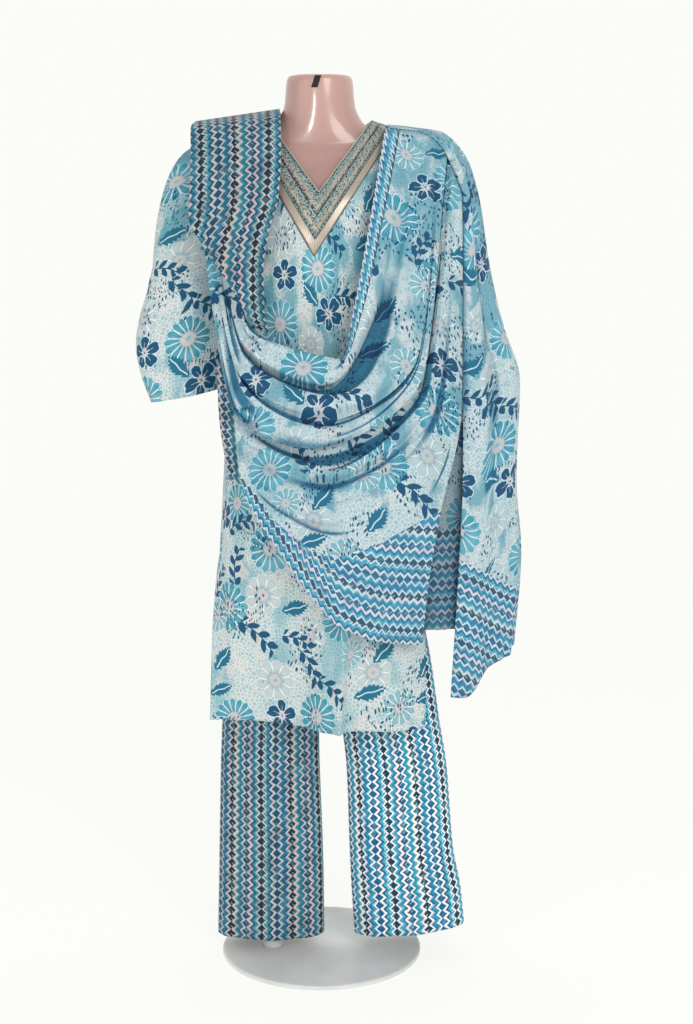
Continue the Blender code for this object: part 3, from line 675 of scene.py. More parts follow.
def stripe_ramp(start, place, chart):
    """Colour and cover of charted stripes at a place across them, in metres."""
    width = sum(row[0] for row in chart) * MM
    ramp = start.tree.nodes.new("ShaderNodeValToRGB")
    ramp.color_ramp.interpolation = "CONSTANT"
    elements = ramp.color_ramp.elements
    edge = 0.0
    for k, (wide, colour) in enumerate(chart):
        spot = edge * MM / width
        stop = elements[0] if k == 0 else elements.new(spot)
        stop.position = spot
        stop.color = (0, 0, 0, 0) if colour is None else colour
        edge += wide
    elements.remove(elements[-1])
    (place / width).math("FRACT").into(ramp, 0)
    return Wire(start.tree, ramp.outputs[0]), Wire(start.tree, ramp.outputs[1])


def zigzag(start, stripes_map, bright=1.0):
    """Colour of the zigzag print: x across the stripes and y along them."""
    placed = stripes_map.wander(90.0, 1.0, 2.6 * MM)
    across, along = placed.part(0), placed.part(1)
    wave = along.math("PINGPONG", ZIGZAG_PERIOD / 2)
    swing = (wave - ZIGZAG_PERIOD / 4) * (2 * ZIGZAG_SWING / (ZIGZAG_PERIOD / 2))
    colour, _ = stripe_ramp(start, across + swing, STRIPES)
    counter, cover = stripe_ramp(start, across - swing, COUNTER_STRIPES)
    colour = colour.over(counter, cover)
    # The dye runs lighter and darker in blots along the stripes
    blots = stripes_map.vector("MULTIPLY", (1.0, 0.45, 0))
    light_blots = blots.noise(75.0).fade(0.50, 0.72)
    dark_blots = blots.noise(52.0).fade(0.50, 0.30)
    colour = colour.over(LIGHT_TEAL, light_blots * 0.25)
    # The dark blots thin out as bright rises, part of the legs' painted light and shade
    colour = colour.over(NAVY, dark_blots * (0.55 - 0.25 * bright))
    dash, cover = stripe_ramp(start, across - swing, DASHES)
    falling = (along / ZIGZAG_PERIOD).math("FRACT").below(0.46)
    colour = colour.over(dash, cover * falling * 0.85)
    # The whole colour's value scaled by bright: on the trouser legs, painted shade on the left leg
    # and waistband and painted light on the right leg
    return colour.node("ShaderNodeHueSaturation", {"Color": colour, "Value": bright})


def local_place(start, place, table):
    """Coordinates from -1 to 1 about whichever motif of a table covers a place."""
    local = None
    wide, tall = REPEAT[0] / 2, REPEAT[1] / 2
    for x, y, size, turn in table:
        near = place.vector("WRAP", (x + wide, y + tall, 1), (x - wide, y - tall, -1))
        own = start.node("ShaderNodeMapping",
                         {"Vector": near, "Location": (x, y, 0),
                          "Rotation": (0, 0, math.radians(turn)), "Scale": (size, size, 1)},
                         vector_type="TEXTURE")
        if local is None:
            local = own
        else:
            local = local.either(own, own.vector("LENGTH", output=1).below(1.0))
    return local


def polar(local, parts):
    """Distance from a motif's middle, and turns about it counted in petals."""
    angle = local.part(1).math("ARCTAN2", local.part(0))
    return local.vector("LENGTH", output=1), angle * (parts / (2 * math.pi)) + parts


def daisy(colour, local, petals, fill, line, behind):
    """Daisy with two rings of petals, outlines and a stippled middle."""
    radius, turn = polar(local, petals)
    fuzz = local.noise(9.0, 3.0) - 0.5
    step = 2 * math.pi / petals
    for shift, reach, widest, dye in ((0.5, 0.93, 0.40, behind), (0.0, 1.0, 0.44, fill)):
        lobe = (turn + shift).math("PINGPONG", 0.5)
        side = lobe * radius * step
        tip = (radius / reach - 0.76).math("MAXIMUM", 0.0) / 0.24
        round_tip = (tip * tip).flip().math("MAXIMUM", 0.0).math("SQRT")
        widest_here = radius.fade(0.12, 0.80) * (widest * step)
        width = widest_here.math("MINIMUM", radius * (0.5 * step) - 0.014) * round_tip
        inside = (width - side).above(0.0)
        rim = abs(width - side).below(0.020) * radius.below(reach)
        vein = abs(lobe - 0.14).below(0.020) * radius.above(0.45) * radius.below(0.78 * reach)
        colour = colour.over(dye, inside)
        colour = colour.over(line, (vein * 0.5 * inside).math("MAXIMUM", rim))
    colour = colour.over(TEAL, radius.fade(0.60, 0.28) * radius.below(0.80) * 0.40)
    colour = colour.over(PINK_WHITE, (radius + fuzz * 0.14).below(0.29))
    specks = local.noise(34.0, 1.0).above(0.56) * radius.below(0.27)
    colour = colour.over(GROUND_BLUE, specks * 0.8)
    return colour.over(LIGHT_TEAL, (radius + fuzz * 0.10).below(0.09) * 0.8)


def blossom(colour, local):
    """Dark blossom of five broad petals about a pale star."""
    radius, turn = polar(local, 5)
    uneven = (local.noise(2.2, 1.0) - 0.5) * 0.22
    lobe = turn.math("PINGPONG", 0.5) * (2 * math.pi / 5)
    along = radius * lobe.math("COSINE") - 0.58
    side = radius * lobe.math("SINE")
    notch = side.fade(0.16, 0.0) * along.above(0.0) * 0.05
    own_size = (turn.math("ROUND") * 2.4).math("SINE") * 0.05
    away = (along * along * 0.80 + side * side * 1.15).math("SQRT") + notch + uneven + own_size
    colour = colour.over(PALE_LINE, away.below(0.395))
    colour = colour.over(DARK_BLUE, away.below(0.340))
    crack = side.below(0.018) * radius.below(0.60)
    star = (lobe * 0.70 + radius + uneven).below(0.36)
    colour = colour.over(PINK_WHITE, star.math("MAXIMUM", crack * 0.7))
    return colour.over(TEAL, radius.below(0.06))


def sprig(colour, local):
    """Curved stem with pointed leaves springing from either side in turn."""
    x = local.part(0)
    height = local.part(1) - (x * 1.6).math("COSINE") * 0.22 + 0.10
    off = abs(height)
    cell = ((x + 1.0) * 1.75 + height.above(0.0) * 0.45).math("FRACT") * (1 / 1.75) - 0.04
    lean = math.radians(40)
    along = cell * math.cos(lean) + off * math.sin(lean) - 0.30
    across = abs(off * math.cos(lean) - cell * math.sin(lean))
    bulge = (along * along * (1 / 0.30**2)).flip() * 0.135
    leaf = (bulge - across).above(0.0) * abs(x).below(0.95)
    stem = off.below(0.030) * abs(x).below(0.92)
    return colour.over(DARK_BLUE, leaf.math("MAXIMUM", stem))


def fern(colour, local):
    """Broad leaf with bold teeth along its edge and a pale midrib."""
    x, y = local.part(0), abs(local.part(1))
    tooth = ((x - y * 0.8) * 3.3).math("PINGPONG", 0.5)
    width = (x * 1.45).math("COSINE") * 0.56 - tooth * 0.34
    colour = colour.over(DARK_TEAL, (width - y).above(0.0) * abs(x).below(0.95))
    rib = abs(local.part(1) + (x * 7.0).math("SINE") * 0.03)
    return colour.over(PALE_LINE, rib.below(0.040) * abs(x).below(0.80))


def flowers(start, cloth_map, depth):
    """Colour of the flowered print; depth makes its ground more turquoise."""
    deeper = cloth_map.part(1).fade(0.42, 0.68) * 0.17 + depth * 0.4
    place = cloth_map.wander(26.0, 2.0, 5 * MM)
    wash = cloth_map.noise(11.0)
    tint = cloth_map.vector("ADD", (3.1, 1.7, 0)).noise(17.0)
    colour = wash.fade(0.60 - depth, 0.30 - depth).blend(GROUND, GROUND_BLUE)
    colour = colour.over(GROUND_PINK, tint.fade(0.50, 0.68) * 0.8)
    # Pale outlined pebbles, filled a little differently from one to the next
    shade = place.cells(PEBBLES, output=1).part(0)
    colour = colour.over(GROUND_BLUE, shade.above(0.62) * 0.45)
    line = place.cells(PEBBLES, "DISTANCE_TO_EDGE").fade(0.12, 0.05)
    colour = colour.over(PEBBLE_LINE, line * (wash.fade(0.34, 0.52) * 0.6 + 0.3))
    # Brushed turquoise patches
    brushed = cloth_map.vector("MULTIPLY", (1.0, 0.5, 0)).noise(19.0, 4.0) + deeper
    colour = colour.over(TURQUOISE, brushed.fade(0.62, 0.76) * 0.7)
    tiled = place.vector("WRAP", (REPEAT[0] / 2, REPEAT[1], 1), (-REPEAT[0] / 2, 0, -1))
    fill = (tint.fade(0.52, 0.60) * 0.6).blend(TURQUOISE, LIGHT_TEAL)
    for table, petals, dye, outline, behind in (
            (LINE_DAISIES, 9, GROUND, WHITE_LINE, GROUND_BLUE),
            (DAISIES, 15, fill, PALE_LINE, TEAL),
            (SMALL_DAISIES, 12, GROUND_BLUE, WHITE_LINE, LIGHT_TEAL)):
        colour = daisy(colour, local_place(start, tiled, table), petals, dye, outline, behind)
    # Clusters of small slanting seeds
    seed_map = cloth_map.wander(21.0, 1.0, 24 * MM)
    cell = seed_map.vector("MULTIPLY", (1.0, 0.50, 1)).cells(PEBBLES, uneven=0.8)
    cluster = cloth_map.vector("ADD", (7.7, 5.2, 0)).noise(14.0, 1.0).above(0.57)
    colour = colour.over(DARK_BLUE, cell.below(0.22) * cluster)
    for table, motif in ((FERNS, fern), (SPRIGS, sprig), (BLOSSOMS, blossom)):
        colour = motif(colour, local_place(start, tiled, table))
    return colour


def finish_cloth(shader, colour, cloth_map, roughness, sheen):
    """Weave, slubs and a soft sheen for a printed cloth."""
    warp, weft = [(cloth_map.part(k) * (2 * math.pi / THREAD_SPACING)).math("SINE")
                  for k in (0, 1)]
    slub = cloth_map.vector("MULTIPLY", (1.0, 6.0, 0)).noise(160.0)
    weave = warp * weft + slub * 1.5
    fine = cloth_map.noise(900.0, 1.0)
    colour = colour.over(PALE_LINE, (fine - 0.45).math("MAXIMUM", 0.0) * 0.2)
    colour = colour.over(NAVY, (weave * 0.035).math("MAXIMUM", 0.0))
    colour.into(shader, "Base Color")
    weave.bump(0.18, 0.15 * MM).into(shader, "Normal")
    (slub * 0.10 + (roughness - 0.05)).into(shader, "Roughness")
    shader.inputs["Sheen Weight"].default_value = sheen
    shader.inputs["Sheen Roughness"].default_value = 0.45
    shader.inputs["Specular IOR Level"].default_value = 0.22


def flowered_cloth(name):
    """Cloth printed with flowers all over."""
    material, shader, start = new_material(name)
    cloth_map = read_map(start, "cloth")
    finish_cloth(shader, flowers(start, cloth_map, 0.0), cloth_map, 0.72, 0.05)
    return material


def striped_cloth(name, bright):
    """Cloth printed with the zigzag all over."""
    material, shader, start = new_material(name)
    colour = zigzag(start, read_map(start, "stripe"), bright)
    finish_cloth(shader, colour, read_map(start, "cloth"), 0.7, 0.05)
    return material


def bordered_cloth(name, shade=0.0):
    """Scarf cloth: flowers, with the zigzag where its zone map's first value is below zero; its
    second value sets painted shade, and shade lays navy over all as painted shade.
    """
    material, shader, start = new_material(name)
    cloth_map = read_map(start, "cloth")
    zone = read_map(start, "zone")
    colour = flowers(start, cloth_map, SCARF_DEPTH)
    stripes = zigzag(start, read_map(start, "stripe"), SCARF_BRIGHT)
    colour = colour.over(stripes.over(SHEER_BLUE, 0.20), zone.part(0).below(0.0))
    # Painted shade: multiplied darker turquoise where the zone map's second value marks hollows and
    # gaps
    colour = colour.times(SCARF_TINT, 1.0).times(HOLLOW_PAINTED_SHADE, zone.part(1))
    # Painted shade: navy laid over the whole cloth by the share shade
    finish_cloth(shader, colour.over(NAVY, shade), cloth_map, 0.66, 0.08)
    return material


def outward(points, closed, axis_x=0.0):
    """Unit normals that face away from the body, or from a tube's own middle."""
    normals = grid_normals(points, closed)
    if closed:
        middle = points.mean(axis=1, keepdims=True)
    else:
        middle = points * (0, 0, 1) + (axis_x, 0, 0)
    facing = (normals * (points - middle)).sum()
    return normals * (1 if facing > 0 else -1)


def lay_out(points, closed=False, offset=(0.0, 0.0)):
    """Cloth lengths across from a grid's middle and up from its foot."""
    if closed:
        points = np.concatenate([points, points[:, :1]], axis=1)
    across = run_length(points, 1)
    across = across - across[:, across.shape[1] // 2][:, None]
    down = run_length(points, 0)
    return across + offset[0], down[-1][None] - down + offset[1]


def lay_in_front(points, offset):
    """Cloth places of draped folds: across and up as seen, a little more by depth."""
    x, y, z = points[..., 0], points[..., 1], points[..., 2]
    return x + offset[0], z + 0.6 * y + offset[1]


def steady(values, row):
    """The values of one row, held the same down the whole grid."""
    return np.broadcast_to(values[row], values.shape)


def hollows(points, axis_x=0.0, full=4.5 * MM):
    """How far each point lies in a hollow of its cloth, from 0 to 1; the scarf pieces use it as the
    amount of painted shade.
    """
    blurred = points
    for _ in range(500):
        padded = np.pad(blurred, ((1, 1), (1, 1), (0, 0)), mode="edge")
        blurred = (padded[2:, 1:-1] + padded[:-2, 1:-1] + padded[1:-1, 2:]
                   + padded[1:-1, :-2]) / 4
    behind = ((blurred - points) * outward(points, False, axis_x)).sum(axis=2)
    return np.clip(behind / full, 0, 1)


def kurta_depth(x, z, index):
    """Depth of the kurta at a place, in front for index 2 and behind for 3."""
    reach = np.minimum(0.9995, np.abs(x) / column(KURTA_ROWS, 1, z))
    return column(KURTA_ROWS, index, z) * np.sqrt(1 - reach * reach)


def edge_reach(z):
    """Half width of a panel at height z: the armhole or the shoulder seam."""
    t = (SHOULDER_TIP_Z - z) / (SHOULDER_TIP_Z - ARMHOLE_Z)
    hollow = ARMHOLE_HOLLOW * np.sin(math.pi * np.clip(t, 0, 1))
    tip = column(KURTA_ROWS, 1, SHOULDER_TIP_Z)
    side = mix(tip, column(KURTA_ROWS, 1, ARMHOLE_Z), t) - hollow
    return np.where(z >= SHOULDER_TIP_Z, column(KURTA_ROWS, 1, z), side)


def top_edge(u, tip_z, neck_curve):
    """Upper edge of a body panel: neckline, shoulder seam, then armhole."""
    side = np.abs(u)
    t = np.clip(side / NECK_PLACE, 0, 1)
    neck_x, neck_z = NECK_HALF_WIDTH * t, mix(tip_z, NECK_POINT_Z, t**neck_curve)
    seam_z = mix(NECK_POINT_Z, SHOULDER_TIP_Z, (side - NECK_PLACE) / (TIP_PLACE - NECK_PLACE))
    hole_z = mix(SHOULDER_TIP_Z, ARMHOLE_Z, (side - TIP_PLACE) / (1 - TIP_PLACE))
    z = np.where(side <= NECK_PLACE, neck_z, np.where(side <= TIP_PLACE, seam_z, hole_z))
    reach = np.where(side <= TIP_PLACE, column(KURTA_ROWS, 1, z), edge_reach(z))
    return np.where(side <= NECK_PLACE, neck_x, reach), z


def body_panel(rows, cols, tip_z, neck_curve, index, side_sign, hem_plan):
    """Grid of the kurta's front or back, from its upper edge down to the hem."""
    t, s = even_grid(rows, cols)
    u = 2 * s - 1
    x_top, z_top = top_edge(u, tip_z, neck_curve)
    z = mix(z_top, KURTA_HEM_Z, t**1.15)
    sine = np.sin(np.abs(u) * math.pi / 2)
    above = (z - ARMHOLE_Z) / np.maximum(1e-6, z_top - ARMHOLE_Z)
    upright = mix(edge_reach(ARMHOLE_Z) * sine, x_top, above)
    along_edge = edge_reach(z) * mix(sine, 1.0, np.clip(above, 0, 1) ** 2.5)
    x = mix(upright, along_edge, ease((np.abs(u) - 0.42) / (TIP_PLACE - 0.42)))
    upper = xyz(np.sign(u) * x, side_sign * kurta_depth(x, z, index), z)
    low_x = column(KURTA_ROWS, 1, z) * np.sin(u * math.pi / 2)
    low_y = side_sign * column(KURTA_ROWS, index, z) * np.cos(u * math.pi / 2)
    share = ease((FLARE_TOP_Z - z) / (FLARE_TOP_Z - KURTA_HEM_Z))
    edge = np.maximum(0.0, (SLIT_TOP_Z - z) / (SLIT_TOP_Z - KURTA_HEM_Z)) ** 0.75
    share = mix(share, edge, ease((np.abs(u) - 0.5) / 0.5))
    hem_x, hem_y = [read_rows([row[k] for row in hem_plan], u, [row[0] for row in hem_plan])
                    for k in (1, 2)]
    lower = xyz(mix(low_x, hem_x, share), mix(low_y, hem_y, share), z)
    points = np.where((z >= ARMHOLE_Z)[..., None], upper, lower)
    points[..., 1] += side_sign * SEAM
    return points, s, t


def push(points, amount, closed=False, axis_x=0.0):
    """Points moved out along their surface by an amount each."""
    return points + outward(points, closed, axis_x) * amount[..., None]


# Creases of each piece: way, places at start, middle and end, half width, height
# in millimetres, and the stretch of the path that it fills
FRONT_CREASES = (
    ("down", 0.60, 0.600, 0.600, 0.010, 4.0, 0.55, 1.2),
    ("down", 0.57, 0.565, 0.560, 0.022, -4.5, 0.60, 1.2),
    ("down", 0.25, 0.28, 0.27, 0.050, 3.0, 0.45, 1.2),
    ("down", 0.42, 0.40, 0.44, 0.040, -3.0, 0.50, 1.2),
    ("down", 0.80, 0.76, 0.74, 0.045, 3.0, 0.50, 1.2),
    ("down", 0.12, 0.14, 0.13, 0.030, 3.5, 0.55, 1.2),
    ("across", 0.90, 0.87, 0.88, 0.010, 1.8, 0.15, 0.50),
    ("across", 0.93, 0.935, 0.93, 0.008, 1.5, 0.62, 0.95),
)
BACK_CREASES = (
    ("down", 0.30, 0.27, 0.24, 0.050, 4.0, 0.30, 1.2),
    ("down", 0.52, 0.50, 0.46, 0.040, 4.0, 0.35, 1.2),
    ("down", 0.70, 0.73, 0.76, 0.050, 4.5, 0.30, 1.2),
    ("down", 0.40, 0.38, 0.36, 0.030, -3.0, 0.40, 1.2),
    ("across", 0.42, 0.45, 0.41, 0.020, 2.5, 0.20, 0.85),
)
SLEEVE_CREASES = (
    ("across", 0.62, 0.60, 0.63, 0.030, -4.0, 0.08, 0.92),
    ("down", 0.5, 0.5, 0.5, 0.070, 10.0, 0.40, 1.02),
    ("across", 0.54, 0.51, 0.55, 0.020, 2.5, 0.10, 0.60),
    ("across", 0.70, 0.68, 0.72, 0.020, 2.0, 0.30, 0.90),
    ("down", 0.32, 0.30, 0.27, 0.040, 3.0, 0.35, 1.2),
    ("down", 0.72, 0.74, 0.70, 0.040, 3.0, 0.35, 1.2),
    ("down", 0.15, 0.18, 0.17, 0.030, -2.5, 0.30, 1.2),
)
LEFT_LEG_CREASES = (
    ("down", 0.27, 0.26, 0.25, 0.016, 2.4, 0.20, 1.2),
    ("down", 0.18, 0.17, 0.17, 0.022, -2.4, 0.25, 1.2),
    ("down", 0.34, 0.35, 0.35, 0.020, -2.2, 0.25, 1.2),
    ("down", 0.42, 0.42, 0.41, 0.018, 2.0, 0.30, 1.2),
    ("down", 0.64, 0.66, 0.67, 0.026, 3.0, 0.25, 1.2),
    ("down", 0.78, 0.77, 0.78, 0.026, -2.5, 0.25, 1.2),
)
RIGHT_LEG_CREASES = (
    ("down", 0.24, 0.25, 0.27, 0.018, 2.4, 0.20, 1.2),
    ("down", 0.15, 0.14, 0.14, 0.020, 2.0, 0.30, 1.2),
    ("down", 0.33, 0.34, 0.35, 0.024, -2.4, 0.25, 1.2),
    ("down", 0.19, 0.20, 0.20, 0.016, -1.8, 0.25, 1.2),
    ("down", 0.66, 0.64, 0.65, 0.026, 3.0, 0.25, 1.2),
    ("down", 0.80, 0.80, 0.78, 0.022, -2.2, 0.25, 1.2),
)
COWL_CREASES = (
    ("across", 0.035, 0.03, 0.03, 0.030, 2.5, -0.2, 1.2),
    ("across", 0.20, 0.24, 0.16, 0.030, 3.5, 0.05, 0.75),
    ("lift", 0.16, 0.45, 0.34, 0.090, 8.0, 0.10, 1.0),
    ("across", 0.30, 0.36, 0.24, 0.026, -4.0, 0.10, 0.95),
    ("lap", 0.56, 0.60, 0.56, 0.070, 5.0, 0.05, 0.50),
    ("lap", 0.66, 0.68, 0.58, 0.070, 6.5, 0.48, 1.0),
    ("lift", 0.50, 0.76, 0.72, 0.060, 5.0, 0.15, 0.75),
    ("across", 0.80, 0.86, 0.74, 0.024, -4.0, 0.45, 0.95),
    ("lap", 0.90, 0.93, 0.90, 0.070, 5.0, 0.05, 0.45),
)
APRON_CREASES = (
    ("across", 0.10, 0.14, 0.04, 0.040, -3.0, 0.30, 0.95),
    ("lift", 0.42, 0.27, 0.08, 0.060, 7.0, 0.40, 0.98),
    ("lap", 0.24, 0.26, 0.20, 0.060, 5.0, 0.04, 0.40),
    ("across", 0.36, 0.36, 0.22, 0.030, -4.5, 0.38, 0.90),
    ("lap", 0.46, 0.42, 0.36, 0.060, 5.0, 0.10, 0.75),
    ("across", 0.60, 0.56, 0.48, 0.030, 4.0, 0.10, 0.60),
    ("lap", 0.68, 0.64, 0.56, 0.060, -4.0, 0.08, 0.60),
    ("across", 0.80, 0.78, 0.74, 0.026, 3.5, 0.08, 0.50),
    ("across", 0.92, 0.90, 0.88, 0.024, -3.0, 0.08, 0.45),
    ("down", 0.74, 0.70, 0.66, 0.045, 4.0, 0.55, 1.2),
    ("down", 0.88, 0.86, 0.84, 0.040, -3.0, 0.55, 1.2),
    ("down", 0.60, 0.60, 0.58, 0.030, -3.0, 0.62, 1.2),
)
SHOULDER_CREASES = (
    ("down", 0.12, 0.14, 0.10, 0.030, 2.0, 0.10, 1.2),
    ("down", 0.46, 0.44, 0.48, 0.026, -2.0, 0.05, 1.2),
    ("down", 0.80, 0.82, 0.80, 0.030, 2.0, 0.10, 1.2),
)
ARM_CREASES = (
    ("down", 0.10, 0.12, 0.10, 0.030, 4.0, 0.15, 0.85),
    ("down", 0.22, 0.20, 0.22, 0.022, -4.5, 0.20, 0.90),
    ("down", 0.36, 0.38, 0.34, 0.030, 4.0, 0.20, 1.2),
    ("down", 0.30, 0.27, 0.30, 0.016, -3.0, 0.40, 1.2),
    ("down", 0.64, 0.62, 0.66, 0.030, 4.0, 0.20, 1.2),
    ("down", 0.80, 0.82, 0.80, 0.026, -3.0, 0.20, 1.2),
    ("across", 0.88, 0.86, 0.88, 0.016, 3.0, -0.2, 0.50),
)
BACK_STRETCH_CREASES = (
    ("down", 0.20, 0.24, 0.20, 0.030, 3.0, 0.20, 1.2),
    ("down", 0.55, 0.52, 0.56, 0.030, 2.5, 0.20, 1.2),
    ("down", 0.84, 0.80, 0.84, 0.030, 3.0, 0.20, 1.2),
)


def stitch_row(name, path, away, length=2.6 * MM, gap=1.5 * MM, radius=0.22 * MM):
    """Row of small separate stitches lying on cloth along a path."""
    run = path_length(path)

    def at(values, place):
        return np.array([np.interp(place, run, values[:, axis]) for axis in range(3)])

    verts, faces = [], []
    for k in range(int(run[-1] / (length + gap))):
        place = k * (length + gap)
        first, last = at(path, place), at(path, place + length)
        out = unit(at(away, place))
        side = unit(np.cross(last - first, out)) * radius
        middle = (first + last) / 2 + out * radius * 1.6
        base = len(verts)
        verts += [first, middle + side, middle - side, middle + out * radius, last]
        for corners in ((0, 1, 3), (0, 3, 2), (0, 2, 1), (4, 3, 1), (4, 2, 3), (4, 1, 2)):
            faces.append([base + corner for corner in corners])
    join_body(make_mesh(name, verts, faces, [STITCHING], smooth_shaded=False))


def hem_stitches(name, points, closed=False, axis_x=0.0, up=12 * MM):
    """Stitches that hold a turned hem, a little above the foot of a grid."""
    away = outward(points, closed, axis_x)
    down = run_length(points, 0)
    row = int(np.abs((down[-1] - down).mean(axis=1) - up).argmin())
    stitch_row(name, points[row] + away[row] * CLOTH_THICK / 2, away[row])


def build_kurta_panel(node, grid, neck, front, hem_plan, crease_table, loose_from, wave, offset):
    """Front or back of the kurta, creased where it hangs free."""
    index, side_sign = (2, -1) if front else (3, 1)
    points, s, t = body_panel(*grid, *neck, index, side_sign, hem_plan)
    loose = ease((t - loose_from) / 0.3)
    points = push(points, (creases(s, t, crease_table) + ripple(s, t, *wave)) * loose)
    add_cloth(node, KURTA_CLOTH, points, {"cloth": lay_out(points, offset=offset)})
    hem_stitches(node + "_hem_stitches", points)


def sleeve_tube(at, phi, width):
    """Points of the sleeve's tube on the left, at a length and angles."""
    places = [row[0] for row in SLEEVE_ROWS]

    def read(k, where):
        return float(read_rows([row[k] for row in SLEEVE_ROWS], where, places))

    def middle(where):
        return read(1, where) - read(4, where) * width, read(3, where)

    x0, z0 = middle(max(0.0, at - 0.02))
    x1, z1 = middle(min(1.0, at + 0.02))
    length = math.hypot(x1 - x0, z1 - z0)
    x, z = middle(at)
    wide = read(4, at) * width * np.cos(phi)
    deep = read(5, at) * np.sin(phi)
    return xyz(x + (z1 - z0) / length * wide, read(2, at) - deep,
               z - (x1 - x0) / length * wide)


def build_sleeve(node, mirror, width, offset):
    """Sleeve from the armhole to its open cuff; mirror is -1 for the right one."""
    rows, cols = 110, 90
    phi = circle(cols)
    side = np.abs(np.arctan2(np.sin(phi), np.cos(phi))) / math.pi
    edge_x, edge_z = top_edge(mix(TIP_PLACE, 1.0, side), V_INNER_Z, V_CURVE)
    edge_y = np.where(np.sin(phi) >= 0, -kurta_depth(edge_x, edge_z, 2),
                      kurta_depth(edge_x, edge_z, 3))
    start = xyz(-edge_x - SLEEVE_GAP, edge_y, edge_z)
    points = np.zeros((rows, cols, 3))
    for i, t in enumerate(np.linspace(0, 1, rows)):
        head = min(1.0, t / SLEEVE_HEAD_END)
        tube = sleeve_tube(max(t, SLEEVE_HEAD_END), phi, width)
        bend = mix(start, tube, np.array(SLEEVE_HEAD_BEND))
        points[i] = (1 - head) ** 2 * start + 2 * head * (1 - head) * bend + head**2 * tube
    t, s = even_grid(rows, cols)
    loose = ease((t - 0.3) / 0.3)
    wave = creases(s, t, SLEEVE_CREASES) + ripple(s, t, 5, 0.6 * MM) * np.sin(math.pi * s)
    points = push(points, wave * loose, closed=True)
    points[..., 0] *= mirror
    add_cloth(node, KURTA_CLOTH, points, {"cloth": lay_out(points, True, offset)},
              closed=True)
    hem_stitches(node + "_cuff_stitches", points, closed=True)


def leg_rows(z, angle, rows, side, hem_rise):
    """One ring of a leg, from centre front round to centre back above the crotch."""
    if z <= CROTCH_Z:
        x = column(rows, 1, z) - side * column(rows, 2, z) * np.cos(angle)
        y = -column(rows, 3, z) * np.sin(angle)
        fade = (CROTCH_Z - z) / (CROTCH_Z - TROUSER_HEM_Z)
        return xyz(x, y, z + hem_rise * fade**3 * (1 - np.cos(angle)) / 2)
    turn = angle / 2 - math.pi / 2
    depth = np.where(turn < 0, column(HIP_ROWS, 2, z), column(HIP_ROWS, 3, z))
    rise = ease((z - CROTCH_Z) / 0.06)
    x = side * (column(HIP_ROWS, 1, z) * np.cos(turn) + mix(1.7 * MM, SEAM / 2, rise))
    leg_y = -column(LEFT_LEG, 3, CROTCH_Z) * np.sin(angle)
    return xyz(x, mix(leg_y, depth * np.sin(turn), rise), z)


def build_leg(node, table, side, hem_rise, crease_table, material, offset):
    """Trouser leg; side is -1 for the left one and 1 for the right one."""
    rows, cols, gap_angle = 150, 110, 0.004
    angle = np.linspace(gap_angle, 2 * math.pi - gap_angle, cols)
    heights = np.linspace(WAIST_Z - 0.026, TROUSER_HEM_Z, rows)
    points = np.array([leg_rows(z, angle, table, side, hem_rise) for z in heights])
    t, s = even_grid(rows, cols)
    hold = ease((t - 0.28) / 0.12) * ease(s / 0.08) * ease((1 - s) / 0.08)
    wave = creases(s, t, crease_table) + ripple(s, t, 7 + side, 0.5 * MM)
    points = push(points, wave * hold, axis_x=points[-1, :, 0].mean())
    across, up = lay_out(points, offset=offset)
    across = steady(across, -1)
    add_cloth(node, material, points,
              {"cloth": (across, up), "stripe": (across, up)})
    hem_stitches(node + "_hem_stitches", points,
                 axis_x=points[-1, :, 0].mean(), up=20 * MM)


def build_waistband():
    """Narrow gathered band on the form's waist."""
    rows, cols = 16, 140
    heights = [row[0] * MM for row in FORM_ROWS]
    angle = circle(cols)
    points = np.zeros((rows, cols, 3))
    for i, z in enumerate(np.linspace(WAIST_Z, WAIST_Z - WAISTBAND_HEIGHT, rows)):
        half, front, back = [float(np.interp(z, heights, [row[k] * MM for row in FORM_ROWS]))
                             + 1.05 * MM for k in (1, 2, 3)]
        depth = np.where(np.sin(angle) < 0, front, back)
        gather = 0.5 * MM * np.sin(angle * 60) * math.sin(math.pi * i / (rows - 1))
        points[i] = xyz((half + gather) * np.cos(angle), (depth + gather) * np.sin(angle), z)
    placed = lay_out(points, True)
    add_cloth("trousers_waistband", TROUSER_CLOTH, points,
              {"cloth": placed, "stripe": placed}, closed=True)


def fold_row(rows, s, t):
    """Points across a folded front stretch at one place t down its rows."""
    xs, zs = [[float(read_rows([row[1 + k][axis] for row in rows], t)) for k in range(5)]
              for axis in (0, 1)]
    lift, set_back = [float(read_rows([row[k] for row in rows], t)) for k in (6, 7)]
    x, z = smooth(FOLD_PLACES, xs, s), smooth(FOLD_PLACES, zs, s)
    rest = column(FRONT_REST, 1, z)
    y = -rest * np.sqrt(np.maximum(0.1, 1 - (x / FRONT_REST_HALF_WIDTH) ** 2))
    return xyz(x, y - lift * smooth(FOLD_PLACES, LIFT_ACROSS, s) + set_back, z)


def folded_front(table, crease_table, wave):
    """Grid of one of the two stretches of folds across the front."""
    t, s = even_grid(FOLD_GRID, FOLD_GRID)
    points = np.array([fold_row(table, s[0], place) for place in t[:, 0]])
    held = ease(s / 0.1) * ease((1 - s) / 0.1)
    return push(points, (creases(s, t, crease_table) + ripple(s, t, *wave)) * held), s, t


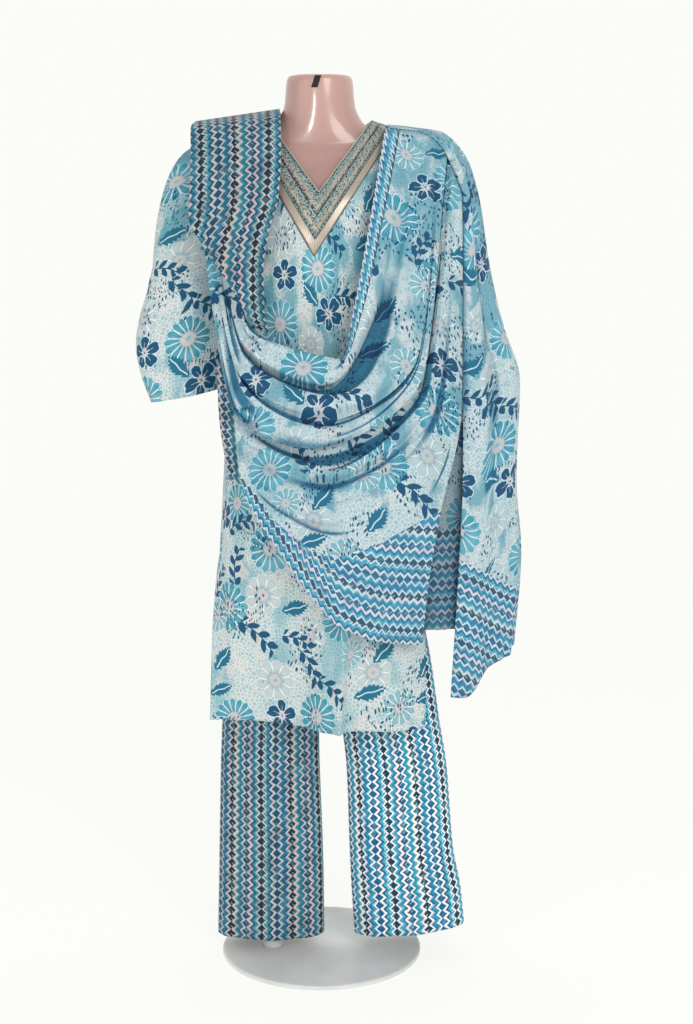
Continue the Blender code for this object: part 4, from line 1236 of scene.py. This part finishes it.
def build_cowl():
    """Upper folds, with a narrow zigzag border along their top edge."""
    points, s, t = folded_front(COWL_ROWS, COWL_CREASES, (11, 0.8 * MM))
    across, _ = lay_out(points, offset=(0.05, 0.12))
    down = run_length(points, 0)
    border = 0.024 * ease((s - 0.55) / 0.12)
    # Painted shade: the depth of the hollows, the crease beside the sleeve and the strip under the
    # lower lip where the apron tucks in
    painted_shade_by_sleeve = 0.8 * ease((0.09 - s) / 0.05) * ease((t - 0.25) / 0.2)
    painted_shade_under_lip = 0.9 * ease((t - 0.88) / 0.1) * ease((s - 0.36) / 0.08) * ease((0.66 - s) / 0.1)
    painted_shade_amount = np.maximum(hollows(points), np.maximum(painted_shade_by_sleeve, painted_shade_under_lip))
    add_cloth("dupatta_cowl", SCARF_CLOTH, points,
              {"cloth": lay_in_front(points, (0.02, -0.55)), "stripe": (down, across),
               "zone": (down - border, painted_shade_amount)})


def build_apron():
    """Lower folds, with the broad zigzag border at their foot."""
    points, s, t = folded_front(APRON_ROWS, APRON_CREASES, (12, 0.9 * MM))
    across, up = lay_out(points, offset=(-0.03, 0.0))
    band = smooth(FOLD_PLACES, (0.66, 0.80, 0.765, 0.75, 0.75), s)
    along = steady(across, int(0.88 * FOLD_GRID))
    # Painted shade: the depth of the hollows and the top where the apron tucks behind the cowl,
    # faded out on the border band
    tucked = 0.95 * ease((0.12 - t) / 0.09) * ease((0.46 - s) / 0.1)
    painted_shade_amount = np.maximum(hollows(points), tucked) * ease((band - t) / 0.05 + 0.5)
    add_cloth("dupatta_apron", SCARF_CLOTH, points,
              {"cloth": lay_in_front(points, (0.12, -0.60)), "stripe": (up, along),
               "zone": (band - t, painted_shade_amount)})
    hem_stitches("apron_hem_stitches", points, up=5 * MM)


def strip_grid(table, rows, cols, pleats, depth, side_sign):
    """Grid of a hanging stretch between its left and right edges."""
    t, s = even_grid(rows, cols)
    ends = [np.stack([read_rows([row[edge][k] for row in table], t) for k in range(3)], axis=-1)
            for edge in (1, 2)]
    points = mix(ends[0], ends[1], s[..., None])
    wave = 0.5 - 0.5 * np.cos(2 * math.pi * pleats * s)
    top_width = (table[0][2][0] - table[0][1][0]) * MM
    narrowing = np.minimum(1.0, (ends[1] - ends[0])[..., 0] / top_width)
    points[..., 1] += side_sign * depth * wave * ease(t * 2.5) * narrowing
    return points, s, t


def build_shoulder():
    """Pleated border over the left shoulder."""
    points, s, t = strip_grid(SHOULDER_ROWS, 140, 90, SHOULDER_PLEATS,
                              SHOULDER_PLEAT_DEPTH, -1)
    held = ease(t / 0.15)
    points = push(points, (creases(s, t, SHOULDER_CREASES) + ripple(s, t, 21, 0.6 * MM)) * held)
    across, up = lay_out(points)
    from_edge = across[:, -1][:, None] - across
    add_cloth("dupatta_left_shoulder", BORDER_CLOTH, points,
              {"cloth": (across, up), "stripe": (from_edge + 0.004, up)})


def build_back_stretch():
    """Free end of the scarf down the back."""
    points, s, t = strip_grid(BACK_ROWS, 130, 100, BACK_PLEATS, BACK_PLEAT_DEPTH, 1)
    held = ease(t / 0.2)
    points = push(points, (creases(s, t, BACK_STRETCH_CREASES) + ripple(s, t, 22, 0.8 * MM)) * held)
    across, up = lay_out(points, offset=(0.02, 0.05))
    from_edge = across[:, -1][:, None] - across
    # Painted shade: the depth of its hollows, carried by the zone map
    add_cloth("dupatta_back", SCARF_CLOTH, points,
              {"cloth": (across, up), "stripe": (from_edge, up),
               "zone": (from_edge - 0.115, hollows(points))})


def build_under():
    """Layer between the front folds and the arm fall, its print darkened with painted shade for the
    deep trough there.
    """
    points, _, _ = strip_grid(UNDER_ROWS, 90, 60, 2, UNDER_FOLD_DEPTH, 1)
    across, up = lay_out(points)
    level = points[..., 2]
    # Painted shade: the depth of its hollows, on top of the navy of its material
    add_cloth("dupatta_under", PAINTED_SHADE_SCARF, points,
              {"cloth": (across, up), "stripe": (0.79 - level, across),
               "zone": (level - 0.775, hollows(points))})


def build_side():
    """Narrow border that shows at the left edge."""
    points, _, _ = strip_grid(SIDE_ROWS, 80, 30, 1, 0.0, 1)
    across, up = lay_out(points)
    add_cloth("dupatta_side", BORDER_CLOTH, points,
              {"cloth": (across, up), "stripe": (across + 0.066, up)})


def arm_front_edge(t, edge, outer):
    """Front edge of the arm fall, butted to the front folds where they meet."""
    joined = [row[1] for row in ARM_ROWS if row[1] is not None]
    places = np.arange(len(joined)) / (len(ARM_ROWS) - 1)
    if t > places[-1]:
        return edge
    folds = COWL_ROWS + APRON_ROWS[1:]
    fold_place = float(smooth(places, joined, t)) / (len(folds) - 1)
    meet = fold_row(folds, np.array([1.0]), fold_place)[0]
    away = (outer[0] - meet[0], outer[2] - meet[2])
    step = FOLD_JOIN_GAP / math.hypot(*away)
    return [meet[0] + away[0] * step, meet[1], meet[2] + away[1] * step]


def build_arm_fall():
    """Stretch of the scarf that falls over the right sleeve."""
    rows, cols = 180, 120
    t, s = even_grid(rows, cols)
    in_front = s[0] < 0.5
    turn = np.where(in_front, s[0], 1 - s[0]) * math.pi
    way = np.where(in_front, 1, -1)
    points = np.zeros((rows, cols, 3))
    for i, place in enumerate(t[:, 0]):
        front, outer, back = [[float(read_rows([row[edge][k] for row in ARM_ROWS], place))
                               for k in range(3)] for edge in (2, 3, 4)]
        front = arm_front_edge(place, front, outer)
        edge = np.where(in_front[:, None], front, back)
        wave = ARM_FOLD_DEPTH * np.sin(2 * math.pi * ARM_FOLDS * s[0])
        wave *= ease((place - 0.35) * 2.5) * np.sin(math.pi * s[0])
        points[i] = xyz(mix(edge[:, 0], outer[0], np.sin(turn)) + wave * np.sin(turn),
                        mix(edge[:, 1], outer[1], 1 - np.cos(turn)) - wave * np.cos(turn) * way,
                        mix(edge[:, 2], outer[2], np.sin(turn)))
    uneven = smooth((0.0, 0.09, 0.21, 0.5, 1.0), (0.016, -0.002, 0.020, 0.012, 0.0), s)
    points[..., 2] += uneven * ease((t - 0.78) / 0.22)
    held = ease(s / 0.06) * ease((t - 0.1) / 0.2)
    points = push(points, (creases(s, t, ARM_CREASES) + ripple(s, t, 31, 0.9 * MM)) * held,
                  axis_x=ARM_AXIS_X)
    across, up = lay_out(points, offset=(0.08, 0.02))
    line = smooth((0.0, 0.5, 1.0), (0.722, 0.655, 0.70), s)
    below_line = line - points[..., 2]
    # Painted shade: the depth of the hollows and a strip along the front edge beside the front
    # folds
    painted_shade_by_folds = 0.75 * ease((0.045 - s) / 0.045)
    painted_shade_by_folds *= ease((t - 0.22) / 0.2) * ease((0.8 - t) / 0.1)
    add_cloth("dupatta_right_arm", SCARF_CLOTH, points,
              {"cloth": (across, up), "stripe": (below_line, steady(across, int(0.9 * rows))),
               "zone": (-below_line, np.maximum(hollows(points, ARM_AXIS_X), painted_shade_by_folds))})


def shoulder_seam_z(x):
    """Height of the shoulder seam at a distance x from the middle."""
    heights = np.linspace(SHOULDER_TIP_Z, NECK_POINT_Z + 0.008, 400)
    halves = column(KURTA_ROWS, 1, heights)
    return np.interp(-x, -halves, heights)


def off_panel(x, z, index, side_sign, off):
    """Points moved off the kurta's panel along its outward normal."""
    step = 0.5 * MM
    slope_x = (kurta_depth(x + step, z, index) - kurta_depth(x - step, z, index)) / (2 * step)
    slope_z = (kurta_depth(x, z + step, index) - kurta_depth(x, z - step, index)) / (2 * step)
    normal = unit(xyz(-slope_x, side_sign, -slope_z))
    return xyz(x, side_sign * (kurta_depth(x, z, index) + SEAM), z) + normal * off, normal


def band_points(u, t, front, off):
    """Points of the neck trim: u along it, t across it from the neck outward."""
    inner_z = V_INNER_Z + 2 * MM if front else NECK_POINT_Z - BACK_NECK_DROP + 2 * MM
    outer_z = V_OUTER_Z if front else NECK_POINT_Z - BACK_NECK_DROP - BAND_WIDTH_AT_SHOULDER
    half = mix(NECK_HALF_WIDTH + 1 * MM, NECK_HALF_WIDTH + BAND_WIDTH_AT_SHOULDER, t)
    top = shoulder_seam_z(half)
    z = mix(mix(inner_z, outer_z, t), top, np.abs(u) ** (V_CURVE if front else SCOOP_CURVE))
    index, side_sign = (2, -1) if front else (3, 1)
    lean = V_TIP_LEAN * t * (1 - np.abs(u)) if front else 0.0
    return off_panel(u * half - lean, z, index, side_sign, off)


def ring_body(name, material, rings, node=None):
    """Closed body through rings from the bottom up, capped with fans."""
    rows, sides = rings.shape[:2]
    verts = np.concatenate([rings.reshape(-1, 3), rings[:1].mean(axis=1), rings[-1:].mean(axis=1)])
    first, final, top = rows * sides, rows * sides + 1, (rows - 1) * sides
    faces = []
    for c in range(sides):
        n = (c + 1) % sides
        for r in range(0, top, sides):
            faces.append((r + c, r + n, r + sides + n, r + sides + c))
    for c in range(0, sides, 2):
        n = (c + 2) % sides
        faces += [(first, n, c + 1, c), (final, top + c, top + c + 1, top + n)]
    return join_body(make_mesh(name, verts, faces, [material]), node)


def tube_along(name, material, path, radius, sides=8):
    """Thin round cord along a path of points, with closed ends."""
    tangent = unit(np.gradient(path, axis=0))
    side = unit(np.cross(tangent, (0.31, -0.87, 0.38)))
    up = np.cross(side, tangent)
    angle = circle(sides)[None, :, None]
    ring = side[:, None] * np.cos(angle) + up[:, None] * np.sin(angle)
    ring_body(name, material, path[:, None] + ring * radius)


def build_neck_trim():
    """Flat trim round the neck, front and back, with its piping and cords."""
    for side, cols, panel in (("front", 180, "kurta_front"), ("back", 110, "kurta_back")):
        front = side == "front"
        t, s = even_grid(14, cols)
        lift = BAND_LIFT_FRONT if front else BAND_LIFT_BACK
        points, _ = band_points(2 * s - 1, t, front, lift)
        points[:, (0, -1), 1] = SEAM * (-1 if front else 1)
        across = run_length(points, 1)
        add_cloth("kurta_neck_band_" + side, TRIM_BASE, points,
                  {"cloth": (across, t * BAND_WIDTH_AT_SHOULDER),
                   "trim": (steady(across, 0), t)})
        u = np.linspace(-0.985, 0.985, 150)
        for label, place, radius, material in (("piping", 0.01, 0.9, PIPING),
                                                ("cord_inner", 0.735, 0.5, DARK_CORD),
                                                ("cord_outer", 0.985, 0.5, DARK_CORD)):
            path, _ = band_points(u, np.full_like(u, place), front, lift + 0.6 * MM)
            tube_along("neck_%s_%s" % (label, side), material, path, radius * MM)


# Rows of sequins and beads across the trim: place across, spacing along, radius
# (millimetres) and which of the trim's four bead colours come up
SEQUIN_ROWS = (
    (0.06, 3.0, 1.0, (3, 1)),
    (0.13, 3.4, 1.2, (0, 3, 0)),
    (0.21, 3.8, 1.3, (0, 1)),
    (0.29, 2.6, 0.9, (2, 2, 3)),
    (0.36, 3.0, 0.9, (3,)),
    (0.44, 3.4, 1.4, (0, 3, 1)),
    (0.53, 3.4, 1.2, (1, 0, 3)),
    (0.61, 2.6, 0.9, (2, 2, 1)),
    (0.69, 3.2, 1.1, (3, 0)),
)


def build_sequins():
    """Small domed sequins sewn in rows on the front and back of the trim."""
    turn = np.random.default_rng(44)
    verts, faces, picks = [], [], []
    sides = 6
    angle = circle(sides)
    fine = np.linspace(-0.97, 0.97, 400)
    for front, lift in ((True, BAND_LIFT_FRONT), (False, BAND_LIFT_BACK)):
        for place, spacing, radius, colours in SEQUIN_ROWS:
            path, _ = band_points(fine, np.full_like(fine, place), front, lift)
            length = path_length(path)
            count = int(length[-1] / (spacing * MM))
            at = np.interp((np.arange(count) + 0.5) * spacing * MM, length, fine)
            over = place + turn.uniform(-0.012, 0.012, count)
            spots, normals = band_points(at, over, front, lift + 0.7 * MM)
            for k in range(count):
                tilt = unit(normals[k] + turn.normal(0, 0.16, 3))
                side = unit(np.cross(tilt, (0.0, 0.0, 1.0)))
                up = np.cross(side, tilt)
                rim = np.outer(np.cos(angle), side) + np.outer(np.sin(angle), up)
                base = len(verts)
                verts.extend(spots[k] + radius * MM * rim)
                verts += [spots[k] + tilt * 0.55 * MM, spots[k] - tilt * 0.15 * MM]
                for c in range(sides):
                    n = (c + 1) % sides
                    faces += [(base + c, base + n, base + sides),
                              (base + n, base + c, base + sides + 1)]
                picks += [colours[k % len(colours)]] * (2 * sides)
    thing = make_mesh("neck_sequins", verts, faces, SEQUINS, smooth_shaded=False)
    thing.data.polygons.foreach_set("material_index", np.array(picks, np.int32))
    join_body(thing)


def turned(name, node, material, middle_x, profile, sides=96):
    """Piece turned about an upright axis, from (radius, height) pairs."""
    angle = circle(sides)
    rings = [xyz(middle_x + r * np.cos(angle), r * np.sin(angle), z) for r, z in profile]
    ring_body(name, material, np.array(rings), node)


def build_form():
    """Smooth plastic form: shoulders, neck with a rounded flat top, plain bottom."""
    rows, sides = 150, 120
    low, high = FORM_ROWS[0][0] * MM, FORM_ROWS[-1][0] * MM
    heights = np.concatenate([mix(low, high, np.linspace(0, 1, rows)),
                              np.array([row[0] for row in FORM_ROWS[-4:]]) * MM])
    heights = np.unique(np.round(np.concatenate([heights, np.linspace(1.375, high, 60)]), 5))
    angle = circle(sides)
    rings = []
    for z in heights:
        half, front, back = [float(column(FORM_ROWS, k, z)) for k in (1, 2, 3)]
        depth = np.where(np.sin(angle) < 0, front, back)
        rings.append(xyz(half * np.cos(angle), depth * np.sin(angle), z))
    ring_body("form_shell", FORM_SHELL, np.array(rings), "dress_form")


def build_strap_end():
    """Black woven strap end bent over the front rim of the neck."""
    rows, cols = 24, 14
    t, s = even_grid(rows, cols)
    z = mix(STRAP_TOP_Z, STRAP_FOOT_Z, t)
    x = STRAP_X + (2 * s - 1) * STRAP_HALF_WIDTH + (1.495 - z) * STRAP_LEAN
    half, front = column(FORM_ROWS, 1, z), column(FORM_ROWS, 2, z)
    y = -front * np.sqrt(1 - (x / half) ** 2) - 1.6 * MM
    points = xyz(x, y, z)
    shell("form_strap_end", STRAP_WEB, points, {"cloth": lay_out(points)},
          thick=1.1 * MM)


def build_stand():
    """Foot plate, collar and tube of the stand."""
    rim = 2 * MM
    turned("stand_foot_plate", "stand_base", STAND_PAINT, 0, (
        (BASE_RADIUS - rim, 0), (BASE_RADIUS - 0.6 * MM, 0.7 * MM), (BASE_RADIUS, rim),
        (BASE_RADIUS, BASE_THICK - rim), (BASE_RADIUS - 0.6 * MM, BASE_THICK - 0.7 * MM),
        (BASE_RADIUS - rim, BASE_THICK), (BASE_RADIUS - 6 * MM, BASE_THICK - 0.2 * MM),
        (BASE_RADIUS - 8 * MM, BASE_THICK - 0.8 * MM), (0.02, BASE_THICK - 0.6 * MM)))
    foot = BASE_THICK + SEAM
    top = foot + SOCKET_HEIGHT
    turned("stand_collar", "stand_socket", STAND_PAINT, POLE_X, (
        (SOCKET_RADIUS - 1 * MM, foot), (SOCKET_RADIUS, foot + 1 * MM),
        (SOCKET_RADIUS, top - 2 * MM), (SOCKET_RADIUS - 1.2 * MM, top),
        (SOCKET_RADIUS - 4 * MM, top + 4 * MM), (POLE_RADIUS + 0.5 * MM, top + 4 * MM)), sides=64)
    groove = POLE_RADIUS - 0.3 * MM
    turned("stand_tube", "stand_pole", STAND_TUBE, POLE_X, (
        (POLE_RADIUS, top + 4 * MM + SEAM), (POLE_RADIUS, POLE_JOINT_Z),
        (groove, POLE_JOINT_Z + 1 * MM), (groove, POLE_JOINT_Z + 2 * MM),
        (POLE_RADIUS, POLE_JOINT_Z + 3 * MM), (POLE_RADIUS, FORM_BOTTOM_Z - SEAM)), sides=48)


def plastic(name, colour, roughness, coat):
    """Moulded or painted surface with a slight unevenness."""
    material, shader, start = new_material(name)
    place = read_place(start)
    cloudy = place.noise(9.0, 3.0, dimensions="3D")
    cloudy.fade(0.35, 0.7).blend(colour, darker(colour, 0.86)).into(shader, "Base Color")
    (cloudy * 0.10 + (roughness - 0.05)).into(shader, "Roughness")
    place.noise(420.0, dimensions="3D").bump(0.03, 0.2 * MM).into(shader, "Normal")
    shader.inputs["Coat Weight"].default_value = coat
    shader.inputs["Coat Roughness"].default_value = 0.08
    return material


def tube_metal(name):
    """Brushed metal tube."""
    material, shader, start = new_material(name)
    drawn = read_place(start).vector("MULTIPLY", (1.0, 1.0, 0.02))
    (drawn.noise(900.0, dimensions="3D") * 0.2 + 0.22).into(shader, "Roughness")
    shader.inputs["Base Color"].default_value = TUBE_GREY
    shader.inputs["Metallic"].default_value = 1.0
    return material


def trim_base(name):
    """Ground of the neck trim: aqua net, peach and gold bands, satin outer ribbon."""
    material, shader, start = new_material(name)
    trim = read_map(start, "trim")
    along, across = trim.part(0), trim.part(1)
    specks = read_map(start, "cloth").cells(600.0, output=1).part(0)
    colour, _ = stripe_ramp(start, across * BAND_WIDTH_AT_SHOULDER, TRIM_LANES)
    colour = colour.over(TRIM_LIGHT_SPECK, specks.above(0.74) * 0.6)
    colour = colour.over(TRIM_DARK_SPECK, specks.below(0.24) * 0.8)
    ribbon = across.above(0.74)
    fold = (along * (2 * math.pi / (3.2 * MM)) + across * 9.0).math("SINE")
    colour = colour.over((fold * 0.2 + 0.4).blend(SATIN, SATIN_SHADE), ribbon)
    colour.into(shader, "Base Color")
    (ribbon.flip() * 0.30 + 0.28).into(shader, "Roughness")
    (ribbon * 0.22 + 0.08).into(shader, "Metallic")
    (specks * ribbon.flip() + fold * 0.15).bump(0.5, 0.3 * MM).into(shader, "Normal")
    return material


def thread(name, colour, roughness=0.6, metallic=0.0):
    """Twisted thread or foil, slightly mottled."""
    material, shader, start = new_material(name)
    grain = read_place(start).noise(700.0, 1.0, dimensions="3D")
    grain.blend(colour, darker(colour, 0.6)).into(shader, "Base Color")
    shader.inputs["Roughness"].default_value = roughness
    shader.inputs["Metallic"].default_value = metallic
    return material


# The studio: paper, sky, camera, and each lamp's size, power, place, aim and colour
STUDIO_SIZE = 30.0
WALL_Y = 5.0
SKY_COLOUR = (0.98, 0.99, 1.0, 1)
SKY_STRENGTH = 0.44
CAMERA_PLACE = (0.044, -3.0, 1.30)
CAMERA_TILT = 80.3
CAMERA_LENS = 62.8
LAMPS = (
    ("key", (2.3, 2.3), 76, (1.7, -3.9, 3.0), (0, 0, 0.9), (1, 0.985, 0.96)),
    ("fill", (2.2, 2.2), 7, (-2.6, -2.2, 1.5), (0, 0, 0.9), (0.95, 0.98, 1)),
    ("top", (1.6, 1.6), 4, (0.2, 0.3, 3.2), (0, 0, 1.0), (1, 1, 1)),
    ("strip", (0.26, 0.34), 11, (-0.74, -2.9, 1.62), (0, 0, 1.45), (1, 1, 1)),
)


def light(name, size, energy, location, target, colour):
    """Soft oval lamp turned to its target."""
    data = bpy.data.lights.new(name, "AREA")
    data.shape = "ELLIPSE"
    data.size, data.size_y = size
    data.energy = energy
    data.color = colour
    lamp = bpy.data.objects.new(name, data)
    bpy.context.scene.collection.objects.link(lamp)
    lamp.location = location
    way = np.array(target) - np.array(location)
    lamp.rotation_euler = (math.atan2(math.hypot(way[0], way[1]), -way[2]), 0,
                           math.atan2(way[1], way[0]) - math.pi / 2)


def studio_paper(name, shade, glow):
    """Lit white paper: how much light it scatters and how much it gives."""
    material, shader, _ = new_material(name)
    shader.inputs["Base Color"].default_value = (shade, shade, shade * 0.985, 1)
    shader.inputs["Roughness"].default_value = 1.0
    shader.inputs["Specular IOR Level"].default_value = 0.0
    shader.inputs["Emission Color"].default_value = (0.965, 0.974, 0.931, 1)
    shader.inputs["Emission Strength"].default_value = glow
    return material


def build_studio():
    """White paper, soft lights and the camera at the photograph's angle."""
    wide, back = STUDIO_SIZE, WALL_Y
    for name, corners, material in (
            ("studio_floor", ((-wide, -wide, 0), (wide, -wide, 0), (wide, back, 0),
                              (-wide, back, 0)), FLOOR),
            ("studio_wall", ((-wide, back, 0), (wide, back, 0), (wide, back, wide),
                             (-wide, back, wide)), WALL)):
        make_mesh(name, corners, [(0, 1, 2, 3)], [material])
    world = bpy.data.worlds.new("studio")
    bpy.context.scene.world = world
    world.use_nodes = True
    backdrop = world.node_tree.nodes["Background"]
    backdrop.inputs[0].default_value = SKY_COLOUR
    backdrop.inputs[1].default_value = SKY_STRENGTH
    for lamp in LAMPS:
        light(*lamp)
    bpy.context.scene.view_settings.view_transform = "Standard"
    data = bpy.data.cameras.new("photo_camera")
    data.lens = CAMERA_LENS
    data.sensor_width = 36
    camera = bpy.data.objects.new("photo_camera", data)
    bpy.context.scene.collection.objects.link(camera)
    camera.location = CAMERA_PLACE
    camera.rotation_euler = (math.radians(CAMERA_TILT), 0, 0)
    bpy.context.scene.camera = camera


KURTA_CLOTH = flowered_cloth("kurta_flowers")
# Lit and shaded copies of the trouser print: the left leg and waistband darkened as painted shade,
# the right leg brightened as painted light
TROUSER_CLOTH = striped_cloth("trouser_zigzag", bright=0.83)
RIGHT_LEG_PAINTED_LIGHT_CLOTH = striped_cloth("trouser_zigzag_painted_light", bright=1.5)
SCARF_CLOTH = bordered_cloth("scarf_print")
# Painted shade: the scarf print with navy laid over half of it, for the layer in the trough by the
# arm fall
PAINTED_SHADE_SCARF = bordered_cloth("scarf_print_painted_shade", shade=0.5)
BORDER_CLOTH = striped_cloth("scarf_zigzag", bright=0.74)
TRIM_BASE = trim_base("neck_trim_ground")
PIPING = thread("neck_piping", srgb(206, 206, 192), 0.5)
STITCHING = thread("stitching", srgb(206, 216, 220), 0.7)
DARK_CORD = thread("neck_dark_cord", srgb(58, 78, 74), 0.5)
SEQUINS = [thread("sequin_aqua", srgb(162, 182, 178), 0.30, 0.2),
           thread("sequin_gold", srgb(190, 182, 160), 0.28, 0.4),
           thread("sequin_peach", srgb(200, 172, 160), 0.32, 0.1),
           thread("sequin_dark", srgb(34, 62, 76), 0.30, 0.2)]
FORM_SHELL = plastic("form_plastic", srgb(198, 157, 148), 0.30, 0.6)
STRAP_WEB = thread("strap_webbing", srgb(22, 22, 24), 0.7)
STAND_PAINT = plastic("stand_paint", srgb(232, 232, 230), 0.45, 0.1)
STAND_TUBE = tube_metal("stand_tube")
FLOOR = studio_paper("studio_floor", 0.20, 0.84)
WALL = studio_paper("studio_wall", 0.0, 1.0)

build_form()
build_strap_end()
build_stand()
build_kurta_panel("kurta_front", (160, 140), (V_INNER_Z, V_CURVE), True, FRONT_HEM,
                  FRONT_CREASES, 0.45, (3, 0.5 * MM), (0.0, 0.0))
build_kurta_panel("kurta_back", (120, 110), (NECK_POINT_Z - BACK_NECK_DROP, SCOOP_CURVE), False,
                  BACK_HEM, BACK_CREASES, 0.2, (4, 0.8 * MM), (0.11, 0.0))
build_neck_trim()
build_sequins()
build_sleeve("kurta_sleeve_left", 1, 1.0, (0.07, 0.30))
build_sleeve("kurta_sleeve_right", -1, RIGHT_SLEEVE_WIDTH, (-0.10, 0.12))
build_leg("trousers_leg_left", LEFT_LEG, -1, 0.0, LEFT_LEG_CREASES, TROUSER_CLOTH, (0.01, 0.0))
build_leg("trousers_leg_right", RIGHT_LEG, 1, RIGHT_HEM_RISE, RIGHT_LEG_CREASES,
          RIGHT_LEG_PAINTED_LIGHT_CLOTH, (0.05, 0.0))
build_waistband()
build_cowl()
build_apron()
build_shoulder()
build_back_stretch()
build_under()
build_side()
build_arm_fall()
build_studio()
